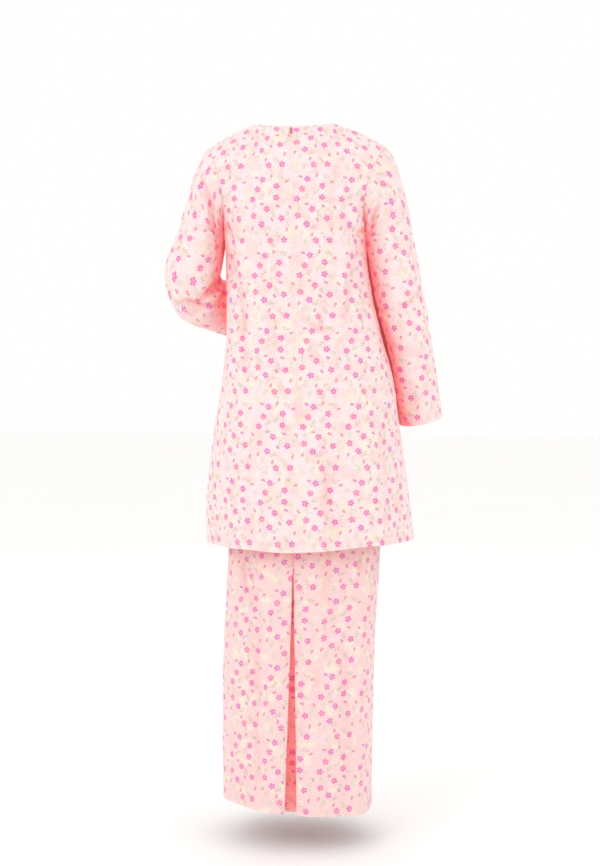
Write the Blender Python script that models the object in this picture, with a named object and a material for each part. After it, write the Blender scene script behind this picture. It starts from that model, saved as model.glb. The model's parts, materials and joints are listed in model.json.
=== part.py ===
"""Baju kurung: a loose A-line tunic worn over a long skirt with an inverted pleat at the centre back.

Metres, +Z up. The front faces -Y and the wearer's left side is +X. The origin lies midway between
the two points where the shoulder seams meet the neckline, which is where a wearer holds the set up.
Every cloth piece is a wall of even thickness, offset inwards from the face of the cloth.
"""

import math
from collections import namedtuple

import bpy
import numpy as np

# Cloth
WALL = 0.0014  # thickness of every cloth wall
SEAM_GAP = 0.0003  # space left between two sewn pieces

# Tunic, below the arms: one row for each level, from the hem upwards
Section = namedtuple("Section", "z sway half_width back_depth front_depth squareness")
TUNIC_SECTIONS = [
    Section(-0.859, -0.0245, 0.2130, 0.166, 0.168, 2.15),
    Section(-0.790, -0.0200, 0.2080, 0.162, 0.165, 2.15),
    Section(-0.716, -0.0176, 0.2010, 0.158, 0.161, 2.15),
    Section(-0.627, -0.0166, 0.1900, 0.152, 0.155, 2.20),
    Section(-0.518, -0.0160, 0.1745, 0.139, 0.148, 2.25),
    Section(-0.443, -0.0097, 0.1620, 0.127, 0.143, 2.30),
    Section(-0.340, 0.0012, 0.1488, 0.113, 0.143, 2.30),
    Section(-0.280, 0.0076, 0.1458, 0.112, 0.144, 2.30),
    Section(-0.217, 0.0100, 0.1470, 0.115, 0.137, 2.30),
]
UNDERARM_Z = TUNIC_SECTIONS[-1].z
HEM_Z = TUNIC_SECTIONS[0].z

# Tunic, above the arms, as seen on the wearer's left half before the sway is added
Sway = namedtuple("Sway", "z sway")
SHOULDER_SWAY = [
    Sway(UNDERARM_Z, 0.0100),
    Sway(-0.120, 0.0080),
    Sway(-0.050, 0.0060),
    Sway(0.000, 0.0100),
]
NECK_HALF_WIDTH = 0.085
SHOULDER_TIP = (0.181, 0.000, -0.046)
SHOULDER_CREST = 0.004  # how far the shoulder seam rises above a straight line
Yoke = namedtuple("Yoke", "neck_depth neck_z centre armhole neck_power")
BACK_YOKE = Yoke(
    neck_depth=0.062,
    neck_z=-0.010,
    centre=[(0.1165, -0.165), (0.109, -0.105), (0.091, -0.050)],
    armhole=[
        (0.1440, 0.040, -0.196),
        (0.1450, 0.062, -0.152),
        (0.1570, 0.058, -0.100),
        (0.1730, 0.030, -0.062),
    ],
    neck_power=2.4,
)
FRONT_YOKE = Yoke(
    neck_depth=0.082,
    neck_z=-0.078,
    centre=[(0.136, -0.180), (0.127, -0.145), (0.109, -0.110)],
    armhole=[
        (0.1435, -0.040, -0.197),
        (0.1405, -0.068, -0.148),
        (0.1510, -0.066, -0.098),
        (0.1700, -0.034, -0.060),
    ],
    neck_power=2.4,
)

# Soft folds that run down the cloth: middle angle, spread and depth, and where they start and are full
Fold = namedtuple("Fold", "angle spread depth start_z full_z")
TUNIC_FOLDS = [
    Fold(3, 13, 0.0060, -0.44, -0.80),
    Fold(25, 9, -0.0040, -0.40, -0.84),
    Fold(41, 9, 0.0060, -0.40, -0.84),
    Fold(58, 9, -0.0050, -0.40, -0.84),
    Fold(74, 9, 0.0030, -0.46, -0.84),
    Fold(118, 12, -0.0030, -0.46, -0.84),
    Fold(141, 10, 0.0060, -0.40, -0.84),
    Fold(160, 9, -0.0050, -0.38, -0.84),
    Fold(199, 10, 0.0070, -0.36, -0.84),
    Fold(221, 10, -0.0080, -0.36, -0.84),
    Fold(248, 12, 0.0060, -0.42, -0.84),
    Fold(276, 11, -0.0050, -0.46, -0.84),
    Fold(303, 12, 0.0080, -0.36, -0.84),
    Fold(327, 10, -0.0070, -0.36, -0.84),
    Fold(346, 8, 0.0050, -0.38, -0.84),
]

# The centre back line of the tunic runs straight down from the neck, leaning to the wearer's right
CENTRE_BACK_X = 0.0125
CENTRE_BACK_LEAN = 0.034
Slit = namedtuple("Slit", "column row")  # where the line is open: beyond this column, above this row

# Sleeves
SleeveRing = namedtuple("SleeveRing", "along inner outer back front squareness")
Sleeve = namedtuple("Sleeve", "side root upper_way fore_way upper_length bend_radius rings")
RIGHT_SLEEVE = Sleeve(
    side=-1,
    root=(-0.1640, -0.016, -0.130),
    upper_way=(-0.165, -0.060, -0.984),
    fore_way=(-0.180, -0.190, -0.965),
    upper_length=0.225,
    bend_radius=0.300,
    rings=[
        SleeveRing(0.10, 0.050, 0.0500, 0.062, 0.060, 2.2),
        SleeveRing(0.17, 0.052, 0.0530, 0.061, 0.059, 2.1),
        SleeveRing(0.28, 0.052, 0.0540, 0.059, 0.057, 2.1),
        SleeveRing(0.38, 0.049, 0.0490, 0.056, 0.054, 2.1),
        SleeveRing(0.49, 0.047, 0.0460, 0.052, 0.052, 2.1),
    ],
)
LEFT_SLEEVE = Sleeve(
    side=1,
    root=(0.1760, 0.000, -0.130),
    upper_way=(0.270, 0.030, -0.960),
    fore_way=(-0.600, -0.760, -0.240),
    upper_length=0.165,
    bend_radius=0.064,
    rings=[
        SleeveRing(0.10, 0.050, 0.0490, 0.060, 0.058, 2.2),
        SleeveRing(0.17, 0.055, 0.0560, 0.058, 0.058, 2.1),
        SleeveRing(0.23, 0.055, 0.0560, 0.056, 0.057, 2.1),
        SleeveRing(0.30, 0.055, 0.0560, 0.054, 0.056, 2.1),
        SleeveRing(0.43, 0.047, 0.0500, 0.048, 0.050, 2.1),
    ],
)
SLEEVE_CLEARANCE = 0.004  # least space between a hanging sleeve and the body of the tunic
CLEARANCE_START = 0.050  # the height below the underarm over which that space opens
SHOULDER_FALL = (0.80, 0.0, -0.60)  # which way the sleeve leaves the armhole at the shoulder tip
UNDERARM_FALL = (0.85, 0.0, -0.53)  # and at the underarm
SleeveFold = namedtuple("SleeveFold", "side along around length width depth")
SLEEVE_FOLDS = [
    SleeveFold(1, 0.205, 150, 0.012, 60, -0.0060),
    SleeveFold(1, 0.232, 200, 0.010, 70, 0.0050),
    SleeveFold(1, 0.255, 170, 0.012, 60, -0.0070),
    SleeveFold(-1, 0.230, 20, 0.016, 60, -0.0030),
    SleeveFold(-1, 0.300, 330, 0.014, 50, -0.0030),
]

# Skirt: one row for each level, from the hem upwards. turn is how far the stance turns the section.
SkirtSection = namedtuple(
    "SkirtSection", "z sway half_width back_depth front_depth squareness turn"
)
SKIRT_SECTIONS = [
    SkirtSection(-1.399, 0.0030, 0.1555, 0.140, 0.136, 2.20, 7),
    SkirtSection(-1.230, 0.0030, 0.1560, 0.138, 0.134, 2.20, 6),
    SkirtSection(-1.060, 0.0000, 0.1570, 0.137, 0.131, 2.20, 4),
    SkirtSection(-0.900, -0.0105, 0.1560, 0.136, 0.126, 2.20, 2),
    SkirtSection(-0.760, -0.0140, 0.1590, 0.136, 0.121, 2.20, 0),
    SkirtSection(-0.620, -0.0150, 0.1600, 0.134, 0.118, 2.20, 0),
    SkirtSection(-0.520, -0.0140, 0.1450, 0.118, 0.114, 2.15, 0),
    SkirtSection(-0.435, -0.0095, 0.1200, 0.091, 0.100, 2.10, 0),
    SkirtSection(-0.400, -0.0060, 0.1170, 0.087, 0.097, 2.10, 0),
]
WAIST_TOP_Z = SKIRT_SECTIONS[-1].z
BAND_HEIGHT = 0.035
SKIRT_HEM_RISE = 0.009  # how much higher the hem is on the wearer's left than midway
SKIRT_FOLDS = [
    Fold(22, 15, 0.0030, -0.66, -1.05),
    Fold(52, 14, -0.0060, -0.62, -0.95),
    Fold(74, 11, 0.0040, -0.66, -1.00),
    Fold(122, 14, -0.0045, -0.70, -1.05),
    Fold(150, 16, 0.0040, -0.62, -1.00),
    Fold(208, 16, -0.0060, -0.62, -1.00),
    Fold(240, 15, 0.0070, -0.62, -1.00),
    Fold(272, 14, -0.0050, -0.66, -1.05),
    Fold(303, 15, 0.0060, -0.66, -1.05),
    Fold(335, 14, -0.0050, -0.62, -1.00),
]

# Inverted pleat at the centre back of the skirt
PLEAT_TOP_Z = -0.898
PLEAT_OPEN_LEFT = 0.0170  # how far the left fold has swung from the centre back at the hem
PLEAT_OPEN_RIGHT = 0.0065
CENTRE_BACK_SKIRT_X = 0.0020  # where the centre back seam of the skirt lies
SEAM_ALLOWANCE = 0.012  # width turned in above the pleat
RETURN_WIDTH = 0.055  # width of cloth folded back inside the pleat
RETURN_START = 0.030  # the height over which the return reaches its full width
TURN_RADIUS = 0.0019  # of the cloth's face round a pressed edge
UNDERLAY_GAP = 0.0008  # between the returns and the underlay sewn to them
UNDERLAY_INSET_TOP = 0.0060
UNDERLAY_INSET_HEM = 0.0240

# Zip in the centre back seam of the tunic
ZIP_BOTTOM_Z = -0.610
ZIP_TAPE_WIDTH = 0.020
ZIP_TAPE_THICKNESS = 0.0010
ZIP_TAPE_GAP = 0.0011  # between the cloth and the tape behind it
ZIP_TAPE_SHORT = 0.003  # how far the tape ends below the neckline
SLIDER_BELOW_EDGE = 0.009
SLIDER_LENGTH = 0.0074
SLIDER_WIDTH = 0.0026
SLIDER_RISE = 0.0036
SLIDER_BAR = 0.0008
SLIDER_CORNER = 0.0006
TAB_HINGE_UP = 0.0016  # the tab's hinge axis, from the slider's middle
TAB_HINGE_OUT = 0.0019  # and from the cloth's face
TAB_WIDTH = 0.0052
TAB_LENGTH = 0.0150
TAB_THICKNESS = 0.0009
TAB_WINDOW_WIDTH = 0.0034
TAB_WINDOW_LENGTH = 0.0062
TAB_CORNER = TAB_WIDTH / 3
TAB_WINDOW_CORNER = TAB_WINDOW_WIDTH / 8
CORNER_STEPS = 3  # flats round one corner of the slider and the tab

# How finely curves are read
CURVE_STEPS = 30  # places on a smooth curve for each of its own points
SECTION_STEPS = 400  # places on a section that even angles are read from
SHARP_ANGLE = 50  # degrees between two faces that meet in a sharp edge

Finish = namedtuple("Finish", "colour roughness metallic")
PRINTED_COTTON = Finish((0.96, 0.84, 0.82), 0.85, 0.0)
POLYESTER_TAPE = Finish((0.95, 0.80, 0.80), 0.70, 0.0)
LACQUERED_METAL = Finish((0.90, 0.68, 0.68), 0.35, 0.6)


def smooth_through(keys, values, at):
    """Values on a smooth curve through the given ones, at each place in at."""
    keys, values, at = (np.asarray(item, float) for item in (keys, values, at))
    slopes = np.gradient(values, keys, axis=0)
    start = np.clip(np.searchsorted(keys, at) - 1, 0, len(keys) - 2)
    span = keys[start + 1] - keys[start]
    share = (at - keys[start]) / span
    if values.ndim > 1:
        span, share = span[..., None], share[..., None]
    rise = values[start + 1] - values[start]
    bend = (1 - share) * (slopes[start] * span - rise) + share * (rise - slopes[start + 1] * span)
    return values[start] + share * rise + share * (1 - share) * bend


def column(table, name, z):
    """One named column of a table of levels, at height z."""
    values = [getattr(row, name) for row in table]
    return smooth_through([row.z for row in table], values, z)


def ease(share):
    """From 0 to 1 with level ends."""
    share = np.clip(share, 0, 1)
    return share * share * (3 - 2 * share)


def even_steps(points, count):
    """count points at even distances along a smooth curve through points."""
    points = np.asarray(points, float)
    reach = np.concatenate([[0], np.cumsum(np.linalg.norm(np.diff(points, axis=0), axis=1))])
    fine = smooth_through(reach, points, np.linspace(0, reach[-1], CURVE_STEPS * len(points)))
    fine_reach = np.concatenate([[0], np.cumsum(np.linalg.norm(np.diff(fine, axis=0), axis=1))])
    wanted = np.linspace(0, fine_reach[-1], count)
    return np.stack([np.interp(wanted, fine_reach, fine[:, axis]) for axis in range(3)], axis=1)


def fold_depth(folds, angle, z):
    """How far the folds push the cloth out at an angle in degrees round the body from its left side."""
    depth = np.zeros(np.broadcast(angle, z).shape)
    for fold in folds:
        away = (angle - fold.angle + 180) % 360 - 180
        depth += fold.depth * np.exp(-((away / fold.spread) ** 2)) * ease(
            (z - fold.start_z) / (fold.full_z - fold.start_z)
        )
    return depth


def ring_point(table, folds, angle, z):
    """A point of a closed body section. Angle 0 is the wearer's left, 90 the centre back."""
    turn = np.radians(angle)
    power = 2 / column(table, "squareness", z)
    across, along = np.cos(turn), np.sin(turn)
    depth = np.where(along >= 0, column(table, "back_depth", z), column(table, "front_depth", z))
    out = fold_depth(folds, angle, z)
    x = column(table, "half_width", z) * np.sign(across) * np.abs(across) ** power + out * across
    y = depth * np.sign(along) * np.abs(along) ** power + out * along
    return x, y


def even_angles(table, start, end, count, z):
    """Angles from start to end, in degrees, that are evenly spaced along the section at height z."""
    fine = np.linspace(start, end, SECTION_STEPS)
    x, y = ring_point(table, [], fine, z)
    reach = np.concatenate([[0], np.cumsum(np.hypot(np.diff(x), np.diff(y)))])
    return np.interp(np.linspace(0, reach[-1], count), reach, fine)


def face_normals(grid, closed):
    """Unit normals of a grid of points, rows going up and columns anticlockwise seen from above."""
    if closed:
        across = np.roll(grid, -1, axis=1) - np.roll(grid, 1, axis=1)
    else:
        across = np.gradient(grid, axis=1)
    normals = np.cross(across, np.gradient(grid, axis=0))
    return normals / np.linalg.norm(normals, axis=2, keepdims=True)


def share_edge(first, second):
    """Gives two rows or columns of normals that meet at a seam the same directions, in place."""
    shared = first + second
    shared /= np.linalg.norm(shared, axis=-1, keepdims=True)
    first[...] = shared
    second[...] = shared


def wall_object(name, grid, outward, finish, closed=False, slit=None, wall=WALL):
    """A closed solid: the grid as its face, the grid offset inwards as its back, and its edges.

    slit holds a column and the row where it starts: the cloth is cut from there up to the last row
    between that column and the next one, and the two columns are one below it.
    """
    rows, columns = grid.shape[:2]
    count = rows * columns
    index = np.arange(count).reshape(rows, columns)
    points = np.concatenate([grid.reshape(-1, 3), (grid - wall * outward).reshape(-1, 3)])
    if slit:
        index[: slit.row + 1, slit.column + 1] = index[: slit.row + 1, slit.column]
    faces = []
    for row in range(rows - 1):
        for col in range(columns if closed else columns - 1):
            right = (col + 1) % columns
            if slit and col == slit.column:
                continue
            low, high = index[row], index[row + 1]
            faces.append((low[col], low[right], high[right], high[col]))
    turns = {(face[i - 1], face[i]) for face in faces for i in range(4)}
    edges = sorted((a, b) for a, b in turns if (b, a) not in turns)
    backs = [tuple(corner + count for corner in face[::-1]) for face in faces]
    sides = [(b, a, a + count, b + count) for a, b in edges]
    used = sorted({int(corner) for face in faces + backs for corner in face})
    place = {corner: at for at, corner in enumerate(used)}
    kept = [tuple(place[int(corner)] for corner in face) for face in faces + backs + sides]
    return mesh_object(name, points[used].tolist(), kept, finish)


def mesh_object(name, points, faces, finish):
    mesh = bpy.data.meshes.new(name)
    mesh.from_pydata(points, [], faces)
    mesh.materials.append(material_of(finish))
    mesh.shade_smooth()
    mesh.set_sharp_from_angle(angle=math.radians(SHARP_ANGLE))
    made = bpy.data.objects.new(name, mesh)
    bpy.context.collection.objects.link(made)
    return made


def material_of(finish):
    name = f"finish_{finish.roughness:.2f}_{finish.metallic:.1f}"
    if name in bpy.data.materials:
        return bpy.data.materials[name]
    made = bpy.data.materials.new(name)
    made.use_nodes = True
    shader = made.node_tree.nodes["Principled BSDF"]
    shader.inputs["Base Color"].default_value = (*finish.colour, 1)
    shader.inputs["Roughness"].default_value = finish.roughness
    shader.inputs["Metallic"].default_value = finish.metallic
    return made


def clear_scene():
    for item in list(bpy.data.objects):
        bpy.data.objects.remove(item)


# ---------------------------------------------------------------- tunic

HALF_COLUMNS = 12  # from the centre to the side of one half panel
NECK_COLUMNS = 6  # of those, the ones along the neckline
LOWER_ROWS = 10  # from the hem to the underarm
YOKE_ROWS = 10  # from the underarm to the shoulder


def shoulder_line(yoke, facing):
    """From the centre of the neckline to the shoulder tip, on the left half."""
    turn = np.linspace(0, math.pi / 2, NECK_COLUMNS + 1)
    neck = np.stack(
        [
            NECK_HALF_WIDTH * np.sin(turn),
            facing * yoke.neck_depth * np.cos(turn),
            yoke.neck_z * np.cos(turn) ** 2,
        ],
        axis=1,
    )
    share = np.linspace(0, 1, HALF_COLUMNS - NECK_COLUMNS + 1)[1:, None]
    tip = np.array(SHOULDER_TIP)
    crest = SHOULDER_CREST * np.sin(share * math.pi) * [0, 0, 1]
    return np.concatenate([neck, neck[-1] + share * (tip - neck[-1]) + crest])


def armhole_edge(yoke):
    """From the underarm to the shoulder tip, on the left half."""
    underarm = (TUNIC_SECTIONS[-1].half_width, 0.0, UNDERARM_Z)
    return even_steps([underarm, *yoke.armhole, SHOULDER_TIP], YOKE_ROWS + 1)


def centre_edge(yoke, facing, depth):
    """From the underarm level to the neckline, on the centre line."""
    points = [(0, facing * depth, UNDERARM_Z)]
    points += [(0, facing * y, z) for y, z in yoke.centre]
    return even_steps([*points, (0, facing * yoke.neck_depth, yoke.neck_z)], YOKE_ROWS + 1)


def tunic_level(facing, z):
    """The section of the left half at height z, from the centre to the side."""
    angles = even_angles(TUNIC_SECTIONS, 90 * facing, 0, HALF_COLUMNS + 1, z)
    x, y = ring_point(TUNIC_SECTIONS, [], angles, z)
    return np.stack([x, y, np.full_like(x, z)], axis=1)


def yoke_grid(yoke, facing):
    """Upper half panel: each row is the chord from centre to armhole, bulged as the section below it is.

    The bulge shrinks with the chord's own depth, and the top rows take the shape of the neckline.
    """
    bottom = tunic_level(facing, UNDERARM_Z)
    top = shoulder_line(yoke, facing)
    even = np.linspace(0, 1, HALF_COLUMNS + 1)[:, None]
    reach = np.linalg.norm(np.diff(top, axis=0), axis=1).cumsum()
    uneven = np.concatenate([[0], reach / reach[-1]])[:, None]
    low_bulge = bottom - (bottom[0] + even * (bottom[-1] - bottom[0]))
    top_bulge = top - (top[0] + uneven * (top[-1] - top[0]))
    side, centre = armhole_edge(yoke), centre_edge(yoke, facing, abs(bottom[0, 1]))
    rows = []
    for row in range(YOKE_ROWS + 1):
        up = row / YOKE_ROWS
        share = even + (uneven - even) * ease(up)
        chord = centre[row] + share * (side[row] - centre[row])
        depth = (centre[row, 1] - side[row, 1]) / (bottom[0, 1] - bottom[-1, 1])
        body = low_bulge * [1 - ease(up), depth, 0]
        rows.append(chord + (1 - up**yoke.neck_power) * body + up**yoke.neck_power * top_bulge)
    return np.array(rows)


def tunic_half(yoke, facing, side):
    """One half of a tunic panel, columns from the centre to the side; side is 1 on the wearer's left."""
    levels = np.linspace(HEM_Z, UNDERARM_Z, LOWER_ROWS + 1)[:-1]
    lower = np.array([tunic_level(facing, z) for z in levels])
    grid = np.concatenate([lower, yoke_grid(yoke, facing)])
    grid[..., 0] *= side
    angle = np.arctan2(grid[..., 1], grid[..., 0])
    out = fold_depth(TUNIC_FOLDS, np.degrees(angle), grid[..., 2])
    grid[..., :2] += out[..., None] * np.stack([np.cos(angle), np.sin(angle)], axis=-1)
    grid[..., 0] += tunic_sway(grid[..., 2])
    if facing > 0:
        lean = CENTRE_BACK_X + CENTRE_BACK_LEAN * grid[:, :1, 2] - tunic_sway(grid[:, :1, 2])
        grid[..., 0] += lean * np.linspace(1, 0, HALF_COLUMNS + 1)
    return grid


def tunic_sway(z):
    """How far the section at height z has swayed towards the wearer's left."""
    low = column(TUNIC_SECTIONS, "sway", np.minimum(z, UNDERARM_Z))
    high = column(SHOULDER_SWAY, "sway", np.maximum(z, UNDERARM_Z))
    return np.where(z > UNDERARM_Z, high, low)


def draw_in(edge, inner):
    """An edge of a grid moved by half a seam gap towards the points next to it."""
    step = inner - edge
    return edge + step / np.linalg.norm(step, axis=-1, keepdims=True) * SEAM_GAP / 2


def panel_of(grid):
    """The grid with its sides, and its shoulder seams beyond the neckline, drawn in for the seam gaps."""
    grid = grid.copy()
    grid[:, 0] = draw_in(grid[:, 0], grid[:, 1])
    grid[:, -1] = draw_in(grid[:, -1], grid[:, -2])
    shoulder = HALF_COLUMNS - NECK_COLUMNS + 1
    for part in (slice(0, shoulder), slice(-shoulder, None)):
        grid[-1, part] = draw_in(grid[-1, part], grid[-2, part])
    return grid


def back_grid():
    """The back panel from the wearer's left to right, with its centre column twice, and its slit."""
    left = tunic_half(BACK_YOKE, 1, 1)
    right = tunic_half(BACK_YOKE, 1, -1)
    heights = left[:, 0, 2]
    slit = Slit(HALF_COLUMNS, int(np.argmin(np.abs(heights - ZIP_BOTTOM_Z))))
    open_rows = slice(slit.row + 1, None)
    left[open_rows, 0] = draw_in(left[open_rows, 0], left[open_rows, 1])
    right[open_rows, 0] = draw_in(right[open_rows, 0], right[open_rows, 1])
    return panel_of(np.concatenate([left[:, ::-1], right], axis=1)), slit


def front_grid():
    """The front panel from the wearer's right to left."""
    left = tunic_half(FRONT_YOKE, -1, 1)
    right = tunic_half(FRONT_YOKE, -1, -1)
    return panel_of(np.concatenate([right[:, ::-1], left[:, 1:]], axis=1))


# ---------------------------------------------------------------- sleeves

HEAD_LEAVE = 0.6  # how strongly the head of the sleeve keeps its first direction
SHARED_FROM = 0.5  # the height in the armhole above which the two walls meet edge to edge
HEAD_ROWS = 5  # rows of cloth between the armhole and the first free ring
SLEEVE_ROWS = 12  # rings from there to the cuff
AXIS_STEPS = 200


def unit(vector):
    return np.asarray(vector, float) / np.linalg.norm(vector, axis=-1, keepdims=True)


def arm_axis(sleeve, along):
    """Place and direction of the sleeve's middle line at a distance from its root."""
    upper, fore = unit(sleeve.upper_way), unit(sleeve.fore_way)
    bend = math.acos(upper @ fore)
    toward = unit(fore - (fore @ upper) * upper)
    turned = min(max((along - sleeve.upper_length) / sleeve.bend_radius, 0), bend)
    beyond = max(along - sleeve.upper_length - bend * sleeve.bend_radius, 0)
    place = np.array(sleeve.root) + min(along, sleeve.upper_length) * upper + beyond * fore
    place += sleeve.bend_radius * ((1 - math.cos(turned)) * toward + math.sin(turned) * upper)
    return place, math.cos(turned) * upper + math.sin(turned) * toward


def arm_frames(sleeve):
    """Distance, place, direction and backward side at even steps along the sleeve, free of twist."""
    backward = np.array([0.0, 1.0, 0.0])
    frames = []
    for along in np.linspace(0, sleeve.rings[-1].along, AXIS_STEPS):
        place, way = arm_axis(sleeve, along)
        backward = unit(backward - (backward @ way) * way)
        frames.append((along, place, way, backward))
    return frames


def sleeve_fold_depth(sleeve, along, around):
    """How far the folds push the sleeve out. around is 0 on the outer side and 90 at the back."""
    depth = np.zeros_like(around)
    for fold in SLEEVE_FOLDS:
        if fold.side == sleeve.side:
            away = (around - fold.around + 180) % 360 - 180
            depth += fold.depth * np.exp(
                -((away / fold.width) ** 2) - ((along - fold.along) / fold.length) ** 2
            )
    return depth


def free_ring(sleeve, along, frames):
    """One ring of points, which starts on the wearer's left and goes round by the back."""
    reach = [ring.along for ring in sleeve.rings]
    sizes = {
        name: smooth_through(reach, [getattr(ring, name) for ring in sleeve.rings], along)
        for name in ("inner", "outer", "back", "front", "squareness")
    }
    _, place, way, backward = min(frames, key=lambda frame: abs(frame[0] - along))
    left = np.cross(backward, -way)
    turn = np.linspace(0, 2 * math.pi, 2 * YOKE_ROWS, endpoint=False)
    across, deep = np.cos(turn), np.sin(turn)
    power = 2 / sizes["squareness"]
    around = np.degrees(np.arctan2(deep, across * sleeve.side)) % 360
    out = sleeve_fold_depth(sleeve, along, around)
    wide = np.where(across * sleeve.side >= 0, sizes["outer"], sizes["inner"]) + out
    thick = np.where(deep >= 0, sizes["back"], sizes["front"]) + out
    x = wide * np.sign(across) * np.abs(across) ** power
    y = thick * np.sign(deep) * np.abs(deep) ** power
    return place + x[:, None] * left + y[:, None] * backward


def around_armhole(back, front, side):
    """Joins values that run up the back and the front of the armhole into one loop.

    The loop starts on the wearer's left and goes round by the back, as a ring of the sleeve does.
    """
    if side > 0:
        return np.concatenate([back[::-1], front[1:-1]])
    return np.concatenate([back, front[::-1][1:-1]])


def armhole_loop(side):
    """The edge that the sleeve is set into."""
    loop = around_armhole(armhole_edge(BACK_YOKE), armhole_edge(FRONT_YOKE), side)
    loop[:, 0] = side * (loop[:, 0] + SEAM_GAP) + tunic_sway(loop[:, 2])
    return loop


def clear_of_tunic(points):
    """The points, pushed out where they come too near the body of the tunic."""
    x, y, z = points[..., 0] - tunic_sway(points[..., 2]), points[..., 1], points[..., 2]
    low = np.minimum(z, UNDERARM_Z)
    power = column(TUNIC_SECTIONS, "squareness", low)
    back_depth = column(TUNIC_SECTIONS, "back_depth", low)
    front_depth = column(TUNIC_SECTIONS, "front_depth", low)
    across = np.abs(x / column(TUNIC_SECTIONS, "half_width", low)) ** power
    deep = np.abs(y / np.where(y >= 0, back_depth, front_depth)) ** power
    inside = (across + deep) ** (1 / power)
    reach = np.hypot(x, y)
    space = SEAM_GAP + (SLEEVE_CLEARANCE - SEAM_GAP) * ease((UNDERARM_Z - z) / CLEARANCE_START)
    wanted = reach / inside + fold_depth(TUNIC_FOLDS, np.degrees(np.arctan2(y, x)), z) + space
    grown = np.where((z < UNDERARM_Z) & (reach < wanted), wanted / reach, 1)
    pushed = points.copy()
    pushed[..., 0] += x * (grown - 1)
    pushed[..., 1] += y * (grown - 1)
    return pushed


def sleeve_head(sleeve, loop, ring, ring_way):
    """Rows from the armhole down to the first free ring, leaving each along the cloth's own fall."""
    height = (loop[:, 2] - UNDERARM_Z) / (SHOULDER_TIP[2] - UNDERARM_Z)
    mirror = np.array([sleeve.side, 1, 1])
    fall = height[:, None] * np.array(SHOULDER_FALL) + (1 - height[:, None]) * np.array(UNDERARM_FALL)
    span = np.linalg.norm(ring - loop, axis=1, keepdims=True)
    leave, arrive = HEAD_LEAVE * span * unit(fall * mirror), span * ring_way
    rows = []
    for t in np.linspace(0, 1, HEAD_ROWS + 1)[:-1]:
        rows.append(
            (2 * t**3 - 3 * t**2 + 1) * loop
            + (t**3 - 2 * t**2 + t) * leave
            + (3 * t**2 - 2 * t**3) * ring
            + (t**3 - t**2) * arrive
        )
    return np.array(rows)


def sleeve_grid(sleeve):
    """The whole sleeve, rows from the cuff up to the armhole."""
    frames = arm_frames(sleeve)
    first, last = sleeve.rings[0].along, sleeve.rings[-1].along
    places = np.linspace(first, last, SLEEVE_ROWS)
    rings = np.array([free_ring(sleeve, along, frames) for along in places])
    head = sleeve_head(sleeve, armhole_loop(sleeve.side), rings[0], arm_axis(sleeve, first)[1])
    return clear_of_tunic(np.concatenate([head, rings]))[::-1]


# ---------------------------------------------------------------- skirt

SKIRT_ROWS = 17
BACK_COLUMNS = 9  # from the side seam to the centre back
FRONT_COLUMNS = 20
RETURN_SHARES = (0.0, 0.34, 0.67, 1.0)
TURN_ANGLES = (45, 90, 135)
BAND_COLUMNS = 32
UNDERLAY_SHARES = (-1.0, -0.67, -0.34, 0.0, 0.34, 0.67, 1.0)


def skirt_level(start, end, count, z):
    """Points of the skirt's section at height z, between two angles."""
    angles = even_angles(SKIRT_SECTIONS, start, end, count, z)
    x, y = ring_point(SKIRT_SECTIONS, SKIRT_FOLDS, angles, z)
    turn = np.radians(column(SKIRT_SECTIONS, "turn", z))
    return np.stack(
        [
            x * np.cos(turn) + y * np.sin(turn) + column(SKIRT_SECTIONS, "sway", z),
            y * np.cos(turn) - x * np.sin(turn),
            np.full_like(x, z),
        ],
        axis=1,
    )


def hem_raised(grid):
    """The grid with its hem lifted on the wearer's left and lowered on the right."""
    hem = SKIRT_SECTIONS[0]
    grid = grid.copy()
    low = ease((grid[..., 2] - PLEAT_TOP_Z) / (hem.z - PLEAT_TOP_Z))
    grid[..., 2] += SKIRT_HEM_RISE * low * grid[..., 0] / hem.half_width
    return grid


def skirt_heights():
    """Levels from the hem to the waistband, with one at the top of the pleat."""
    hem = SKIRT_SECTIONS[0].z
    top = WAIST_TOP_Z - BAND_HEIGHT - SEAM_GAP
    low = np.linspace(hem, PLEAT_TOP_Z, SKIRT_ROWS // 2 + 1)
    high = np.linspace(PLEAT_TOP_Z + 2 * RETURN_START, top, SKIRT_ROWS // 2)
    return np.concatenate([low, [PLEAT_TOP_Z + RETURN_START], high])


def open_share(heights):
    """0 at the top of the pleat and above it, 1 at the hem."""
    return np.clip((PLEAT_TOP_Z - heights) / (PLEAT_TOP_Z - SKIRT_SECTIONS[0].z), 0, 1)


def back_half(side, opened):
    """Half of the skirt's back from the side seam to the fold beside the centre back seam."""
    heights = skirt_heights()
    side_angle = 0 if side > 0 else 180
    grid = np.array([skirt_level(side_angle, 90, BACK_COLUMNS + 1, z) for z in heights])
    fold_x = CENTRE_BACK_SKIRT_X + side * (SEAM_GAP / 2 + TURN_RADIUS + opened * open_share(heights))
    grid[..., 0] += (fold_x - grid[:, -1, 0])[:, None] * np.linspace(0, 1, BACK_COLUMNS + 1)
    return grid


def behind_panel(grid, outward, distance, inset):
    """Points under a panel, for each row at a distance back from its last column, and set inwards."""
    steps = np.linalg.norm(np.diff(grid[:, ::-1], axis=1), axis=2)
    reach = np.concatenate([np.zeros((len(grid), 1)), np.cumsum(steps, axis=1)], axis=1)
    behind = grid - inset[:, None, None] * outward
    return np.array(
        [
            [np.interp(distance[row], reach[row], behind[row, ::-1, axis]) for axis in range(3)]
            for row in range(len(grid))
        ]
    )


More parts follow.
